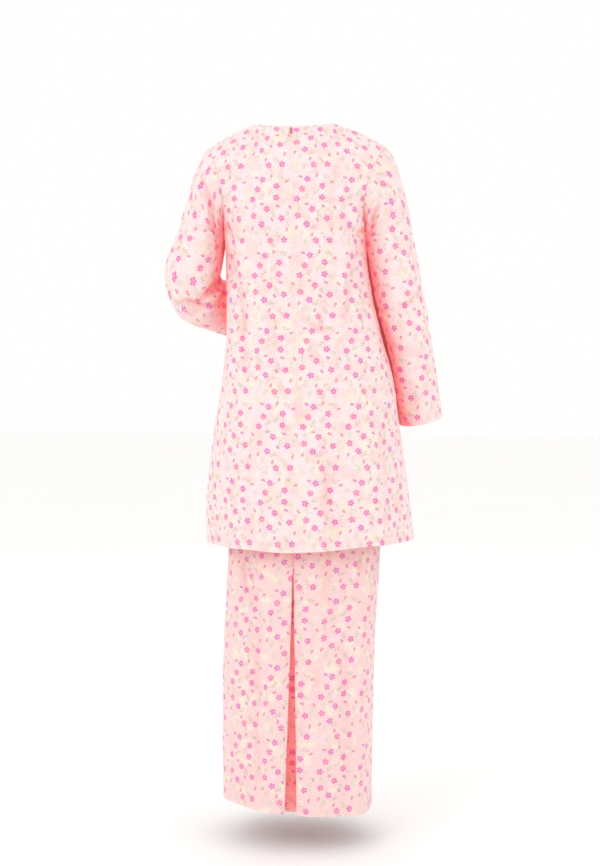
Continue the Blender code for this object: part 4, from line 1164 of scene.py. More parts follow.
def add_stitches(name, lines, settings, finish):
    """Rows of short thread capsules along lines of points and normals."""
    starts, ends, outs = [], [], []
    pitch = settings.length + settings.gap
    for points, normals in lines:
        reach = reach_along(points)
        first = np.arange(0.5 * pitch, reach[-1] - pitch, pitch)
        starts.append(at_reach(first, reach, points))
        ends.append(at_reach(first + settings.length, reach, points))
        outs.append(at_reach(first + settings.length / 2, reach, normals))
    start, end, out = np.concatenate(starts), np.concatenate(ends), unit(np.concatenate(outs))
    along = end - start
    across = unit(np.cross(out, along))
    thick = settings.thickness
    middle = (start + end) / 2 + STITCH_RISE * thick * out
    corners = []
    for place, size in STITCH_RINGS:
        spread = max(size, STITCH_TIP) * thick * STITCH_ROUND
        sunk = STITCH_SINK * thick * (1 - size)
        for turn in RING_TURNS:
            up = spread * math.sin(turn) - sunk
            corners.append(middle + place * along + spread * math.cos(turn) * across + up * out)
    faces = tube_faces(len(STITCH_RINGS))[None] + len(corners) * np.arange(len(middle))[:, None, None]
    made = mesh_from(name, np.stack(corners, axis=1).reshape(-1, 3), faces.reshape(-1, 4))
    made.data.materials.append(finish)
    made.data.shade_smooth()
    return made


# ---------------- finishes

def linear(colour, share=1.0):
    """Scene-linear red, green, blue and alpha of a share of a screen colour."""
    screen = [share * part for part in colour]
    values = [c / 12.92 if c <= 0.04045 else ((c + 0.055) / 1.055) ** 2.4 for c in screen]
    return (*values, 1.0)


def math_node(operation):
    """A method of Number that adds a Math node, with its own number as the first value."""
    return lambda self, *others: self.finish.math(operation, self, *others)


def reflected(operation):
    """The same for an expression in which the other value comes first, as in 1 - mask."""
    return lambda self, other: self.finish.math(operation, other, self)


class Number:
    """A number socket of a finish: sums written on it in Python add the Math nodes for them."""

    def __init__(self, finish, socket):
        self.finish = finish
        self.socket = socket

    __add__ = __radd__ = math_node("ADD")
    __mul__ = __rmul__ = math_node("MULTIPLY")
    __sub__, __rsub__ = math_node("SUBTRACT"), reflected("SUBTRACT")
    __truediv__, __rtruediv__ = math_node("DIVIDE"), reflected("DIVIDE")
    __pow__, __rpow__ = math_node("POWER"), reflected("POWER")
    __lt__, __gt__ = math_node("LESS_THAN"), math_node("GREATER_THAN")
    __abs__ = math_node("ABSOLUTE")
    least, most = math_node("MINIMUM"), math_node("MAXIMUM")
    floor, fraction = math_node("FLOOR"), math_node("FRACT")
    sine, cosine = math_node("SINE"), math_node("COSINE")
    bearing = math_node("ARCTAN2")  # the angle whose tangent is this number over the other

    def soft_step(self, low, high):
        """0 below low and 1 above high, or the other way round where low is the larger."""
        settings = {"interpolation_type": "SMOOTHSTEP"}
        sockets = {"Value": self, "From Min": low, "From Max": high}
        return Number(self.finish, self.finish.add("ShaderNodeMapRange", settings, sockets).outputs[0])


class Finish:
    """A material that is built up node by node."""

    def __init__(self, name):
        self.material = bpy.data.materials.new(name)
        self.material.use_nodes = True
        self.tree = self.material.node_tree
        self.tree.nodes.clear()

    def add(self, kind, settings, sockets):
        """A node: its settings first, then the values or links of its sockets."""
        node = self.tree.nodes.new(kind)
        for name, value in settings.items():
            setattr(node, name, value)
        for name, value in sockets.items():
            if isinstance(value, Number):
                value = value.socket
            if isinstance(value, bpy.types.NodeSocket):
                self.tree.links.new(value, node.inputs[name])
            else:
                node.inputs[name].default_value = value
        return node

    def math(self, operation, *values):
        node = self.add("ShaderNodeMath", {"operation": operation}, dict(enumerate(values)))
        return Number(self, node.outputs[0])

    def vector(self, operation, *values):
        node = self.add("ShaderNodeVectorMath", {"operation": operation}, dict(enumerate(values)))
        return node.outputs["Vector"]

    def distance(self, place, other):
        node = self.add("ShaderNodeVectorMath", {"operation": "DISTANCE"}, {0: place, 1: other})
        return Number(self, node.outputs["Value"])

    def parts(self, place):
        """The three numbers of a vector."""
        node = self.add("ShaderNodeSeparateXYZ", {}, {0: place})
        return [Number(self, socket) for socket in node.outputs]

    def mix(self, share, first, second, blend="MIX"):
        """A colour between two."""
        settings = {"data_type": "RGBA", "blend_type": blend}
        return self.add("ShaderNodeMix", settings, {0: share, 6: first, 7: second}).outputs[2]

    def either(self, share, first, second):
        """A vector between two."""
        mix = self.add("ShaderNodeMix", {"data_type": "VECTOR"}, {0: share, 4: first, 5: second})
        return mix.outputs[1]

    def noise(self, place, size, detail=2.0):
        """A cloudy number, with clouds of a size."""
        node = self.add("ShaderNodeTexNoise", {}, {"Vector": place, "Scale": 1 / size, "Detail": detail})
        return Number(self, node.outputs["Fac"])

    def bump(self, height, distance):
        sockets = {"Height": height, "Distance": distance, "Strength": 1.0}
        return self.add("ShaderNodeBump", {}, sockets).outputs[0]

    def place(self):
        """Where a point is, in metres."""
        return self.add("ShaderNodeTexCoord", {}, {}).outputs["Object"]

    def flat(self):
        """Where a point lies on the cloth before it is sewn, in metres."""
        return self.add("ShaderNodeUVMap", {"uv_map": "flat"}, {}).outputs[0]

    def close(self, sockets):
        """The surface shader, with its values or links, and the output."""
        shader = self.add("ShaderNodeBsdfPrincipled", {}, sockets)
        self.add("ShaderNodeOutputMaterial", {}, {0: shader.outputs[0]})
        return self.material


# The print: where each motif stands in the repeat, in millimetres, its turn in full turns and its hue
Motif = namedtuple("Motif", "x y turn hue")
FLOWERS = rows_of(
    Motif,
    (62, 124, 0.02, 0), (61, 101, 0.61, 0), (22, 118, 0.33, 1), (11, 98, 0.80, 0),
    (41, 78, 0.47, 0), (12, 65, 0.12, 1), (70, 60, 0.28, 0), (29, 49, 0.90, 2),
    (74, 17, 0.55, 0), (46, 16, 0.15, 1), (33, 138, 0.71, 2),
)
BUDS = rows_of(
    Motif,
    (80, 39, 0.20, 1), (39, 28, 0.70, 1), (19, 143, 0.45, 2), (84, 134, 0.05, 1),
    (51, 57, 0.85, 2), (88, 82, 0.35, 1), (30, 88, 0.52, 1), (52, 146, 0.22, 1),
    (8, 42, 0.66, 1), (64, 84, 0.93, 2),
)
SPRIGS = rows_of(
    Motif,
    (50, 113, 0.62, 0), (72, 96, 0.92, 1), (30, 104, 0.12, 0), (14, 82, 0.30, 1),
    (54, 69, 0.80, 0), (82, 68, 0.18, 1), (40, 42, 0.55, 0), (62, 26, 0.36, 0),
    (18, 33, 0.70, 1), (44, 138, 0.08, 1), (72, 142, 0.44, 0), (26, 12, 0.22, 1),
    (50, 8, 0.84, 0),
)
SPRAYS = rows_of(
    Motif,
    (40, 93, 0.1, 0), (84, 52, 0.4, 0), (58, 42, 0.7, 0), (12, 130, 0.2, 0),
    (10, 16, 0.5, 0), (66, 80, 0.9, 0),
)
# Tints of the ground: their size, the least strength that shows and how far each is shifted
TINTS = (
    ("peach", 34.0, 0.47, 0),
    ("lime", 24.0, 0.53, 90),
    ("lilac", 20.0, 0.61, 170),
    ("blush", 13.0, 0.55, 240),
    ("wash", 9.0, 0.60, 310),
)
TINT_DETAIL = 1.5
TINT_EDGE = 0.14  # from the least strength that shows to the one that gives the full tint
TINT_SHARE = 0.70
REPEAT = (91.5, 152.0)
WOBBLE = 1.7  # how far outlines stray, in millimetres
WOBBLE_SCALE = 0.38
WOBBLE_DETAIL = 1.5
CARRY = 0.01  # how a motif's turn and hue ride in the third coordinate of its place

# Sizes of the motifs in millimetres. The other measures of a motif are in its own size.
FLOWER_SIZE = 6.7  # radius of an open flower
BUD_SIZE = 5.0
SPRIG_SIZE = 9.5
SPRAY_SIZE = 10.0
PETALS = 5
STEM_REACH = 0.85
LEAF_PITCH = 0.54  # between pairs of leaves
LEAF_REACH = 0.80  # how far along the stem there are leaves
LEAF_OUT = 0.23  # from the stem to the middle of a leaf
LEAF_HALF_LENGTH = 0.31
LEAF_HALF_WIDTH = 0.12
SLANT = 0.707  # of the leaves, which stand at 45 degrees
DOT_ROWS = 3.3
DOT_COLUMNS = 3.1
DOT_SHIFT = 0.37  # of each row of dots from the one before
BUD_MIDDLE = 0.05
SEPAL_BACK = 0.75  # behind the middle of the motif
SEPAL_OUT = 0.26  # from its middle line


def repeats_of(motif, reach):
    """The motif, and its copies beyond the repeat's edges where it reaches across them."""
    for across in (-1, 0, 1):
        for up in (-1, 0, 1):
            x, y = motif.x + across * REPEAT[0], motif.y + up * REPEAT[1]
            if -reach < x < REPEAT[0] + reach and -reach < y < REPEAT[1] + reach:
                yield (x, y, CARRY * (motif.turn + motif.hue))


def turned(x, y, angle):
    """Coordinates along and across a motif that is turned by an angle."""
    cosine, sine = angle.cosine(), angle.sine()
    return x * cosine + y * sine, y * cosine - x * sine


class Print:
    """The print on one side of the cloth, laid over its ground one kind of motif after the other."""

    def __init__(self, finish, colours, ground, strength):
        self.finish = finish
        self.colours = colours
        self.strength = strength
        self.paint = linear(ground)
        settings, sockets = {"operation": "SCALE"}, {0: finish.flat(), "Scale": 1000.0}
        self.millimetres = finish.add("ShaderNodeVectorMath", settings, sockets).outputs[0]
        sockets = {"Vector": self.millimetres, "Scale": WOBBLE_SCALE, "Detail": WOBBLE_DETAIL}
        wobble = finish.add("ShaderNodeTexNoise", {}, sockets).outputs[1]
        spread, start = (2 * WOBBLE, 2 * WOBBLE, 0.0), (-WOBBLE, -WOBBLE, 0.0)
        place = finish.vector("ADD", self.millimetres, finish.vector("MULTIPLY_ADD", wobble, spread, start))
        self.place = finish.vector("WRAP", place, (*REPEAT, 1.0), (0.0, 0.0, -1.0))
        for layer in (self.tints, self.sprigs, self.sprays, self.buds, self.flowers):
            layer()

    def colour(self, name):
        return linear(getattr(self.colours, name))

    def patches(self, size, low, high):
        """Soft patches of a size in millimetres, 0 to 1."""
        return self.finish.noise(self.millimetres, size).soft_step(low, high)

    def lay(self, mask, share, colour):
        """Lays a share of a colour over the paint inside the mask."""
        self.paint = self.finish.mix(mask * (share * self.strength), self.paint, colour)

    def nearest(self, motifs, size):
        """Place measured from the nearest motif in motif sizes, its distance, turn and hue."""
        finish = self.finish
        centres = [centre for motif in motifs for centre in repeats_of(motif, size)]
        centre, gap = centres[0], finish.distance(self.place, centres[0])
        for other in centres[1:]:
            other_gap = finish.distance(self.place, other)
            centre = finish.either(other_gap < gap, centre, other)
            gap = gap.least(other_gap)
        x, y, _ = finish.parts(finish.vector("SUBTRACT", self.place, centre))
        code = finish.parts(centre)[2] / CARRY
        hue = code.floor()
        return x / size, y / size, gap / size, (code - hue) * (2 * math.pi), hue

    def tints(self):
        """Watercolour clouds of the ground."""
        for name, size, low, shift in TINTS:
            there = self.finish.vector("ADD", self.millimetres, (shift, shift, shift))
            cloud = self.finish.noise(there, size, TINT_DETAIL).soft_step(low, low + TINT_EDGE)
            self.lay(cloud, TINT_SHARE, self.colour(name))

    def sprigs(self):
        """Leafy sprigs, broken as by a dry brush, each on a soft brush mark."""
        x, y, gap, turn, hue = self.nearest(SPRIGS, SPRIG_SIZE)
        along, across = turned(x, y, turn)
        self.lay(self.patches(7.0, 0.40, 0.62) * gap.soft_step(1.15, 0.35), 0.30, self.colour("wash"))
        stem = abs(across).soft_step(0.075, 0.02) * (abs(along) < STEM_REACH)
        pair = ((along * (1 / LEAF_PITCH)).fraction() - 0.5) * LEAF_PITCH
        beside = abs(across) - LEAF_OUT
        leaf_along = (pair + beside) * (SLANT / LEAF_HALF_LENGTH)
        leaf_across = (beside - pair) * (SLANT / LEAF_HALF_WIDTH)
        leaf = (leaf_along * leaf_along + leaf_across * leaf_across).soft_step(1.15, 0.70)
        green = (leaf * (abs(along) < LEAF_REACH)).most(stem * 0.7) * (gap < 1.0)
        tint = self.finish.mix(hue, self.colour("leaf"), self.colour("mint"))
        self.lay(green * self.patches(3.2, 0.36, 0.56), 0.78, tint)

    def sprays(self):
        """Trails of dots."""
        x, y, gap, turn, _ = self.nearest(SPRAYS, SPRAY_SIZE)
        along, across = turned(x, y, turn)
        row = along * DOT_ROWS
        dot_x = row.fraction() - 0.5
        dot_y = (across * DOT_COLUMNS + row.floor() * DOT_SHIFT).fraction() - 0.5
        dots = (dot_x * dot_x + dot_y * dot_y).soft_step(0.070, 0.020)
        trail = self.patches(5.0, 0.44, 0.56) * gap.soft_step(1.25, 0.75)
        self.lay(dots * trail, 0.80, self.colour("dot"))

    def buds(self):
        """Oval buds with a pale heart, each between two sepals."""
        x, y, _, turn, hue = self.nearest(BUDS, BUD_SIZE)
        along, across = turned(x, y, turn)
        back, out, ahead = along + SEPAL_BACK, abs(across) - SEPAL_OUT, along - BUD_MIDDLE
        sepals = (back * back * 9.0 + out * out * 16.0).soft_step(1.2, 0.6)
        self.lay(sepals, 0.6, self.colour("leaf"))
        oval = ahead * ahead * 1.9 + across * across * 3.6
        tint = self.finish.mix(hue - 1, self.colour("coral"), self.colour("violet"))
        tint = self.finish.mix(oval.soft_step(0.42, 0.10) * 0.55, tint, self.colour("petal_heart"))
        self.lay(oval.soft_step(1.15, 0.80), 0.80, tint)

    def flowers(self):
        """Open flowers, painted petal by petal, each in a faint halo."""
        mix = self.finish.mix
        x, y, gap, turn, hue = self.nearest(FLOWERS, FLOWER_SIZE)
        lobe = abs(((y.bearing(x) + turn) * (PETALS / 2)).cosine())
        edge = (lobe**0.7) * 0.40 + 0.58
        tint = mix(hue.least(1.0), self.colour("magenta"), self.colour("coral_pink"))
        tint = mix((hue - 1).most(0.0), tint, self.colour("violet"))
        stroke = lobe.soft_step(0.24, 0.66) * gap.soft_step(0.16, 0.38)
        tint = mix(stroke * 0.85 + 0.15, self.colour("petal_heart"), tint)
        tint = mix(gap.soft_step(0.20, 0.10) * 0.7, tint, self.colour("stamen"))
        self.lay(gap.soft_step(1.7, 0.8), 0.30, self.colour("petal_heart"))
        worn = self.patches(2.4, 0.25, 0.60) * 0.45 + 0.55
        self.lay(gap.soft_step(edge + 0.06, edge - 0.08) * worn, 0.95, tint)


WRONG_SIDE = 0.45  # how strongly the print shows on the wrong side of the cloth
WRONG_SIDE_SHADE = 0.6  # and how much of the painted fold shade
PAINTED_SHADE_CURVE = 1.1
GAP_SHADE_EDGE = (0.78, 0.98)  # how closed in the narrowest gaps are, which get the deepest painted shade
SLUB = (0.12, 1.6)  # how fast the threads' thickness varies along and across them
SLUB_TINT = (0.97, 0.90, 0.90)
WEAVE_DEPTH = 0.00006
TWILL_PITCH = 0.0009
RIB_PITCH = 0.0006
BARE_METAL = (0.80, 0.76, 0.74)


def printed_cotton(name, colours, ground, strength, cloth):
    """Printed plain-weave cotton: the print, painted shade and a painted glow in its folds, and a fine
    slubbed weave.
    """
    finish = Finish(name)
    design = Print(finish, colours, ground, strength)
    paint, millimetres = design.paint, design.millimetres
    # The fold attribute holds how closed in each point is; it drives the painted shade and glow below.
    fold = Number(finish, finish.add("ShaderNodeAttribute", {"attribute_name": "fold"}, {}).outputs["Fac"])
    painted_shade = fold * (cloth.fold_tone * (1.0 if strength == 1 else WRONG_SIDE_SHADE))
    painted_shade = (painted_shade**PAINTED_SHADE_CURVE).least(1.0)
    # Painted shade: the paint is multiplied by the fold colour where folds close in, and by the gap colour
    # in the narrowest gaps.
    deep = finish.mix(1.0, paint, linear(colours.fold), "MULTIPLY")
    deepest = finish.mix(1.0, deep, linear(colours.gap), "MULTIPLY")
    paint = finish.mix(painted_shade, paint, deep)
    paint = finish.mix(fold.soft_step(*GAP_SHADE_EDGE) * strength, paint, deepest)
    # Painted glow: emission in the shaded paint's colour, strongest in the deepest folds.
    painted_glow = finish.mix(painted_shade * painted_shade * (cloth.painted_glow * strength), (0.0, 0.0, 0.0, 1.0), paint)
    slub, slub_across = (finish.vector("MULTIPLY", millimetres, (*way, 1.0)) for way in (SLUB, SLUB[::-1]))
    threads = finish.noise(slub, 1.0) + finish.noise(slub_across, 1.0)
    paint = finish.mix((threads - 1.0) * 0.20 + 0.10, paint, linear(SLUB_TINT), "MULTIPLY")
    u, v, _ = finish.parts(millimetres)
    pitch = 2 * math.pi / cloth.thread_pitch
    weave = (u * pitch).sine() * (v * pitch).sine()
    return finish.close(
        {
            "Base Color": paint,
            "Roughness": threads * 0.10 + 0.74,
            "Normal": finish.bump(weave * 0.5 + threads, WEAVE_DEPTH),
            "Emission Color": painted_glow,
            "Emission Strength": 1.0,
            "Sheen Weight": 0.25,
            "Sheen Roughness": 0.5,
            "Specular IOR Level": 0.25,
        }
    )


def sewing_thread(name, colour):
    """Twisted polyester thread."""
    finish = Finish(name)
    grain = finish.noise(finish.place(), 0.0004)
    tint = finish.mix(grain * 0.5, linear(colour), linear(colour, 0.9))
    return finish.close({"Base Color": tint, "Roughness": 0.55, "Normal": finish.bump(grain, 0.00005)})


def woven_tape(name, colour):
    """Zip tape: a close twill with fine ribs across it."""
    finish = Finish(name)
    u, v, _ = finish.parts(finish.flat())
    twill = ((u + v * 0.7) * (2 * math.pi / TWILL_PITCH)).sine() * 0.5 + 0.5
    rib = (v * (2 * math.pi / RIB_PITCH)).sine() * 0.5 + 0.5
    tint = finish.mix(twill * 0.35, linear(colour), linear(colour, 0.88))
    relief = finish.bump(twill + rib, 0.00008)
    return finish.close({"Base Color": tint, "Roughness": twill * 0.15 + 0.6, "Normal": relief})


def coil_nylon(name, colour):
    """Drawn nylon of the zip's coil, a little glossy."""
    finish = Finish(name)
    cloud = finish.noise(finish.place(), 0.004)
    tint = finish.mix(cloud * 0.4, linear(colour), linear(colour, 0.93))
    return finish.close({"Base Color": tint, "Roughness": cloud * 0.15 + 0.30})


def lacquered_metal(name, colour):
    """Pink lacquer on the slider and tab, rubbed thin in specks so that the metal glints through."""
    finish = Finish(name)
    place = finish.place()
    worn = finish.noise(place, 0.0011, 4.0).soft_step(0.60, 0.72)
    return finish.close(
        {
            "Base Color": finish.mix(worn * 0.6, linear(colour), linear(BARE_METAL)),
            "Metallic": worn * 0.7 + 0.15,
            "Roughness": worn * 0.15 + 0.30,
            "Normal": finish.bump(finish.noise(place, 0.0006), 0.00003),
            "Coat Weight": 0.4,
            "Coat Roughness": 0.2,
        }
    )


def pale_floor(name, colour):
    """A smooth matt floor with hardly visible clouds."""
    finish = Finish(name)
    cloud = finish.noise(finish.place(), 0.6)
    tint = finish.mix(cloud * 0.3, linear(colour), linear(colour, 0.985))
    return finish.close({"Base Color": tint, "Roughness": cloud * 0.1 + 0.75})


# ---------------- settings

def colour_setting(name, description, default):
    return bpy.props.FloatVectorProperty(
        name=name, description=description, default=default, size=3, min=0, max=1, subtype="COLOR_GAMMA"
    )


def number_setting(name, description, default, **more):
    return bpy.props.FloatProperty(name=name, description=description, default=default, **more)


def length_setting(name, description, default):
    return number_setting(name, description, default, min=0, precision=5, unit="LENGTH")


class ClothSettings(bpy.types.PropertyGroup):
    """The cloth itself, with the strength of the shade and glow painted into its folds."""

    wall: length_setting("Thickness", "Thickness of the cloth", 0.0007)
    thread_pitch: number_setting("Thread pitch", "Distance between threads, in millimetres", 0.45, min=0.1)
    crease_strength: number_setting("Crease strength", "How deep the creases are", 1.0, subtype="FACTOR")
    # Painted shade: how strongly the paint is deepened where the folds close in.
    fold_tone: number_setting("Fold tone", "How much deeper folds are in colour", 1.65, subtype="FACTOR")
    # Painted glow: emission in the folds, standing in for light let through the thin cloth.
    painted_glow: number_setting("Glow", "How much light thin cloth lets through in folds", 0.28, subtype="FACTOR")
    tunic_ground: colour_setting("Tunic ground", "Ground colour of the tunic", (0.984, 0.896, 0.896))
    skirt_ground: colour_setting("Skirt ground", "Ground colour of the skirt", (0.978, 0.836, 0.832))


class PrintSettings(bpy.types.PropertyGroup):
    """Colours of the print, and of the shade painted into folds and gaps."""

    magenta: colour_setting("Magenta", "Most open flowers", (0.86, 0.38, 0.65))
    coral_pink: colour_setting("Coral pink", "The other open flowers", (0.90, 0.45, 0.62))
    violet: colour_setting("Violet", "A few flowers and buds", (0.82, 0.42, 0.72))
    coral: colour_setting("Coral", "Buds", (0.87, 0.50, 0.60))
    petal_heart: colour_setting("Petal heart", "Pale middle of a flower", (0.985, 0.72, 0.86))
    stamen: colour_setting("Stamen", "Centre of a flower", (0.80, 0.42, 0.50))
    leaf: colour_setting("Leaf", "Grey-green leaves", (0.71, 0.70, 0.61))
    mint: colour_setting("Mint", "Pale mint leaves", (0.73, 0.79, 0.74))
    blush: colour_setting("Blush", "Small pink clouds of the ground", (0.972, 0.825, 0.835))
    wash: colour_setting("Wash", "Soft brush marks behind the leaves", (0.90, 0.84, 0.76))
    dot: colour_setting("Dot", "Sprays of dots", (0.74, 0.72, 0.70))
    peach: colour_setting("Peach", "Warm tint of the ground", (0.985, 0.855, 0.825))
    lime: colour_setting("Lime", "Yellow-green tint of the ground", (0.975, 0.925, 0.845))
    lilac: colour_setting("Lilac", "Cool tint of the ground", (0.960, 0.880, 0.950))
    # Painted shade: colours multiplied into the cloth in closed-in folds and in the narrowest gaps.
    fold: colour_setting("Folds", "Tint that folds give the cloth", (0.95, 0.665, 0.675))
    gap: colour_setting("Gaps", "Further tint of the narrowest gaps", (0.87, 0.68, 0.68))


class SewingSettings(bpy.types.PropertyGroup):
    """Thread, hems and zip."""

    length: length_setting("Stitch", "Length of a stitch", 0.0026)
    gap: length_setting("Gap", "Space between stitches", 0.0006)
    thickness: length_setting("Thread", "Thickness of the thread", 0.00045)
    tunic_hem: length_setting("Tunic hem", "Height of the tunic's hem", 0.016)
    cuff_hem: length_setting("Cuff hem", "Height of the hem at the cuffs", 0.013)
    skirt_hem: length_setting("Skirt hem", "Height of the skirt's hem", 0.022)
    neck_edge: length_setting("Neck edge", "Stitching below the neckline", 0.006)
    thread: colour_setting("Thread colour", "Colour of the thread", (0.98, 0.86, 0.86))
    tape: colour_setting("Tape colour", "Colour of the zip tape", (0.96, 0.82, 0.82))
    metal: colour_setting("Lacquer colour", "Colour of the slider and tab", (0.80, 0.50, 0.48))


class StageSettings(bpy.types.PropertyGroup):
    """Camera, floor and light."""

    azimuth: number_setting("Azimuth", "Where the camera stands", math.radians(185), subtype="ANGLE")
    pitch: number_setting("Pitch", "How far it looks down", math.radians(3.4), subtype="ANGLE")
    distance: length_setting("Distance", "From the camera to the tunic's axis", 3.6)
    height: number_setting("Height", "Height of the camera", -0.42, unit="LENGTH")
    lens: number_setting("Lens", "Focal length", 72.3, unit="CAMERA")
    floor: number_setting("Floor", "Height of the floor", -1.475, unit="LENGTH")
    floor_colour: colour_setting("Floor colour", "Colour of the floor", (0.995, 0.993, 0.99))
    key_power: number_setting("Key light", "Power of the main soft light", 26, unit="POWER")
    fill_power: number_setting("Fill light", "Power of the other soft lights", 7, unit="POWER")
    sky: number_setting("Sky", "Strength of the light all round", 1.0, min=0)


# ---------------- pieces

# How each piece was cut, its flat size and area, and what it hangs from or is sewn to
Cut = namedtuple("Cut", "flat area held rests_on")
BAND_STITCHING = (0.004, 0.030)  # above the lower edge of the waistband
GATHER_PITCH = 0.0094
GATHER_DEPTH = 0.0009
GATHER_DRIFT = 0.071  # how slowly the pitch of the gathers comes and goes
GATHER_UNEVEN = 1.7  # and how much
SLEEVE_KEEP = 0.02  # a sleeve keeps its smooth form this near to the armhole
NO_SEAM = 1.0  # a distance that is beyond any seam


def declare(made, node, attached):
    """Attaches a piece of cloth, and what is on it, to the garment, and hides the CAD part that it stands
    for.
    """
    for piece in (made, attached):
        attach(piece, "garment")
    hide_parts(node)


def made_once(name, make, *settings):
    """A finish by its name, made where it isn't there yet."""
    return bpy.data.materials.get(name) or make(name, *settings)


def sew(node, kind, surface, lines):
    scene = bpy.context.scene
    cloth, sewing = scene.kurung_cloth, scene.kurung_sewing
    ground = cloth.skirt_ground if kind == "skirt" else cloth.tunic_ground
    sides = [
        made_once(f"printed_{kind}{side}", printed_cotton, scene.kurung_print, ground, strength, cloth)
        for side, strength in (("", 1.0), ("_wrong_side", WRONG_SIDE))
    ]
    made = add_shell(f"{node}_cloth", surface, *sides, cloth.wall)
    thread = made_once("sewing_thread", sewing_thread, sewing.thread)
    declare(made, node, add_stitches(f"{node}_stitching", lines, sewing, thread))


def tunic_grids():
    """The smooth back and front panels, the back's slit, and normals that agree along the seams."""
    back, slit = back_grid()
    front = front_grid()
    back_out, front_out = face_normals(back, False), face_normals(front, False)
    side = slice(0, LOWER_ROWS + 1)
    shoulder = HALF_COLUMNS - NECK_COLUMNS + 1
    share_edge(back_out[side, 0], front_out[side, -1])
    share_edge(back_out[side, -1], front_out[side, 0])
    share_edge(back_out[-1, :shoulder], front_out[-1, ::-1][:shoulder])
    share_edge(back_out[-1, ::-1][:shoulder], front_out[-1, :shoulder])
    return back, back_out, front, front_out, slit


def relaxed_yoke(points, slit):
    """The panel with its yoke smoothed, each side of the slit by itself where it has one."""
    rows = slice(LOWER_ROWS - RELAX_MARGIN, None)
    halves = np.split(points, [slit.column + 1], axis=1) if slit else [points]
    return np.concatenate([relaxed(half, rows, RELAX_TIMES) for half in halves], axis=1)


def tunic_surface(points, outward, slit):
    """A panel of the tunic, with its creases and rolled seams."""
    flat = flat_panel(points, HALF_COLUMNS)
    points = relaxed_yoke(points, slit)
    strength = bpy.context.scene.kurung_cloth.crease_strength
    armhole = ease((points[..., 2] - UNDERARM_Z) / ARMHOLE_KEEP + 1)
    fade = 1 - armhole * (1 - ease(side_distance(points) / ARMHOLE_KEEP))
    pushed = creased(points, outward, TUNIC_CREASES, strength, TUNIC_SEED)
    points = points + fade[..., None] * (pushed - points)
    points = seam_roll(points, outward, side_distance(points), TUNIC_SEED)
    if slit:
        reach = lengths_along(points, 1)
        centre = reach[:, slit.column : slit.column + 2].mean(axis=1, keepdims=True)
        points = seam_roll(points, outward, np.abs(reach - centre), TUNIC_SEED + 1)
    shoulder = top_distance(points)
    neck = HALF_COLUMNS - NECK_COLUMNS + 1
    shoulder[:, neck:-neck] = NO_SEAM
    points = seam_roll(points, outward, shoulder, TUNIC_SEED + 2)
    return Surface(points, outward, flat, False, slit)


class KURUNG_OT_tunic(bpy.types.Operator):
    """Add the tunic's back and front with their hems, neckline and zip stitching"""

    bl_idname = "kurung.tunic"
    bl_label = "Tunic"

    def execute(self, context):
        sewing = context.scene.kurung_sewing
        back, back_out, front, front_out, slit = tunic_grids()
        panels = (("tunic_back", back, back_out, slit), ("tunic_front", front, front_out, None))
        for name, points, outward, slit in panels:
            surface = tunic_surface(points, outward, slit)
            start = HALF_COLUMNS - NECK_COLUMNS
            end = points.shape[1] - start
            necklines = [slice(start, end)]
            if slit:
                necklines = [slice(start, slit.column), slice(slit.column + 2, end)]
            lines = [row_line(surface, sewing.tunic_hem)]
            lines += [row_line(surface, sewing.neck_edge, True, part) for part in necklines]
            if slit:
                rows = slice(slit.row, ZIP_STITCH_END)
                for edge, step in ((slit.column, -1), (slit.column + 1, 1)):
                    lines.append(beside_column(surface, edge, step, ZIP_STITCHING, rows))
            sew(name, "tunic", surface, lines)
        return {"FINISHED"}


def sleeve_surface(sleeve, creases, seed, back_out, front_out):
    """A creased sleeve. High in the armhole its wall meets the tunic's edge to edge."""
    points = wrapped_sleeve(sleeve_grid(sleeve), sleeve)
    outward = face_normals(points, True)
    height = (points[-1, :, 2] - UNDERARM_Z) / (SHOULDER_TIP[2] - UNDERARM_Z)
    shared = ease(height / SHARED_FROM)[:, None]
    back_edge, front_edge = (0, -1) if sleeve.side > 0 else (-1, 0)
    body = around_armhole(back_out[LOWER_ROWS:, back_edge], front_out[LOWER_ROWS:, front_edge], sleeve.side)
    outward[-1] = unit((1 - shared) * outward[-1] + shared * body)
    flat = flat_tube(points)
    fade = ease(top_distance(points) / SLEEVE_KEEP)[..., None]
    strength = bpy.context.scene.kurung_cloth.crease_strength
    points = points + fade * (creased(points, outward, creases, strength, seed) - points)
    points = seam_roll(points, outward, top_distance(points), seed)
    return Surface(points, outward, flat, True, None)


class KURUNG_OT_sleeves(bpy.types.Operator):
    """Add the two set-in sleeves with their cuff hems"""

    bl_idname = "kurung.sleeves"
    bl_label = "Sleeves"

    def execute(self, context):
        _, back_out, _, front_out, _ = tunic_grids()
        choices = (
            ("sleeve_left", LEFT_SLEEVE, LEFT_SLEEVE_CREASES, LEFT_SLEEVE_SEED),
            ("sleeve_right", RIGHT_SLEEVE, RIGHT_SLEEVE_CREASES, RIGHT_SLEEVE_SEED),
        )
        for name, sleeve, creases, seed in choices:
            surface = sleeve_surface(sleeve, creases, seed, back_out, front_out)
            sew(name, "tunic", surface, [row_line(surface, context.scene.kurung_sewing.cuff_hem)])
        return {"FINISHED"}


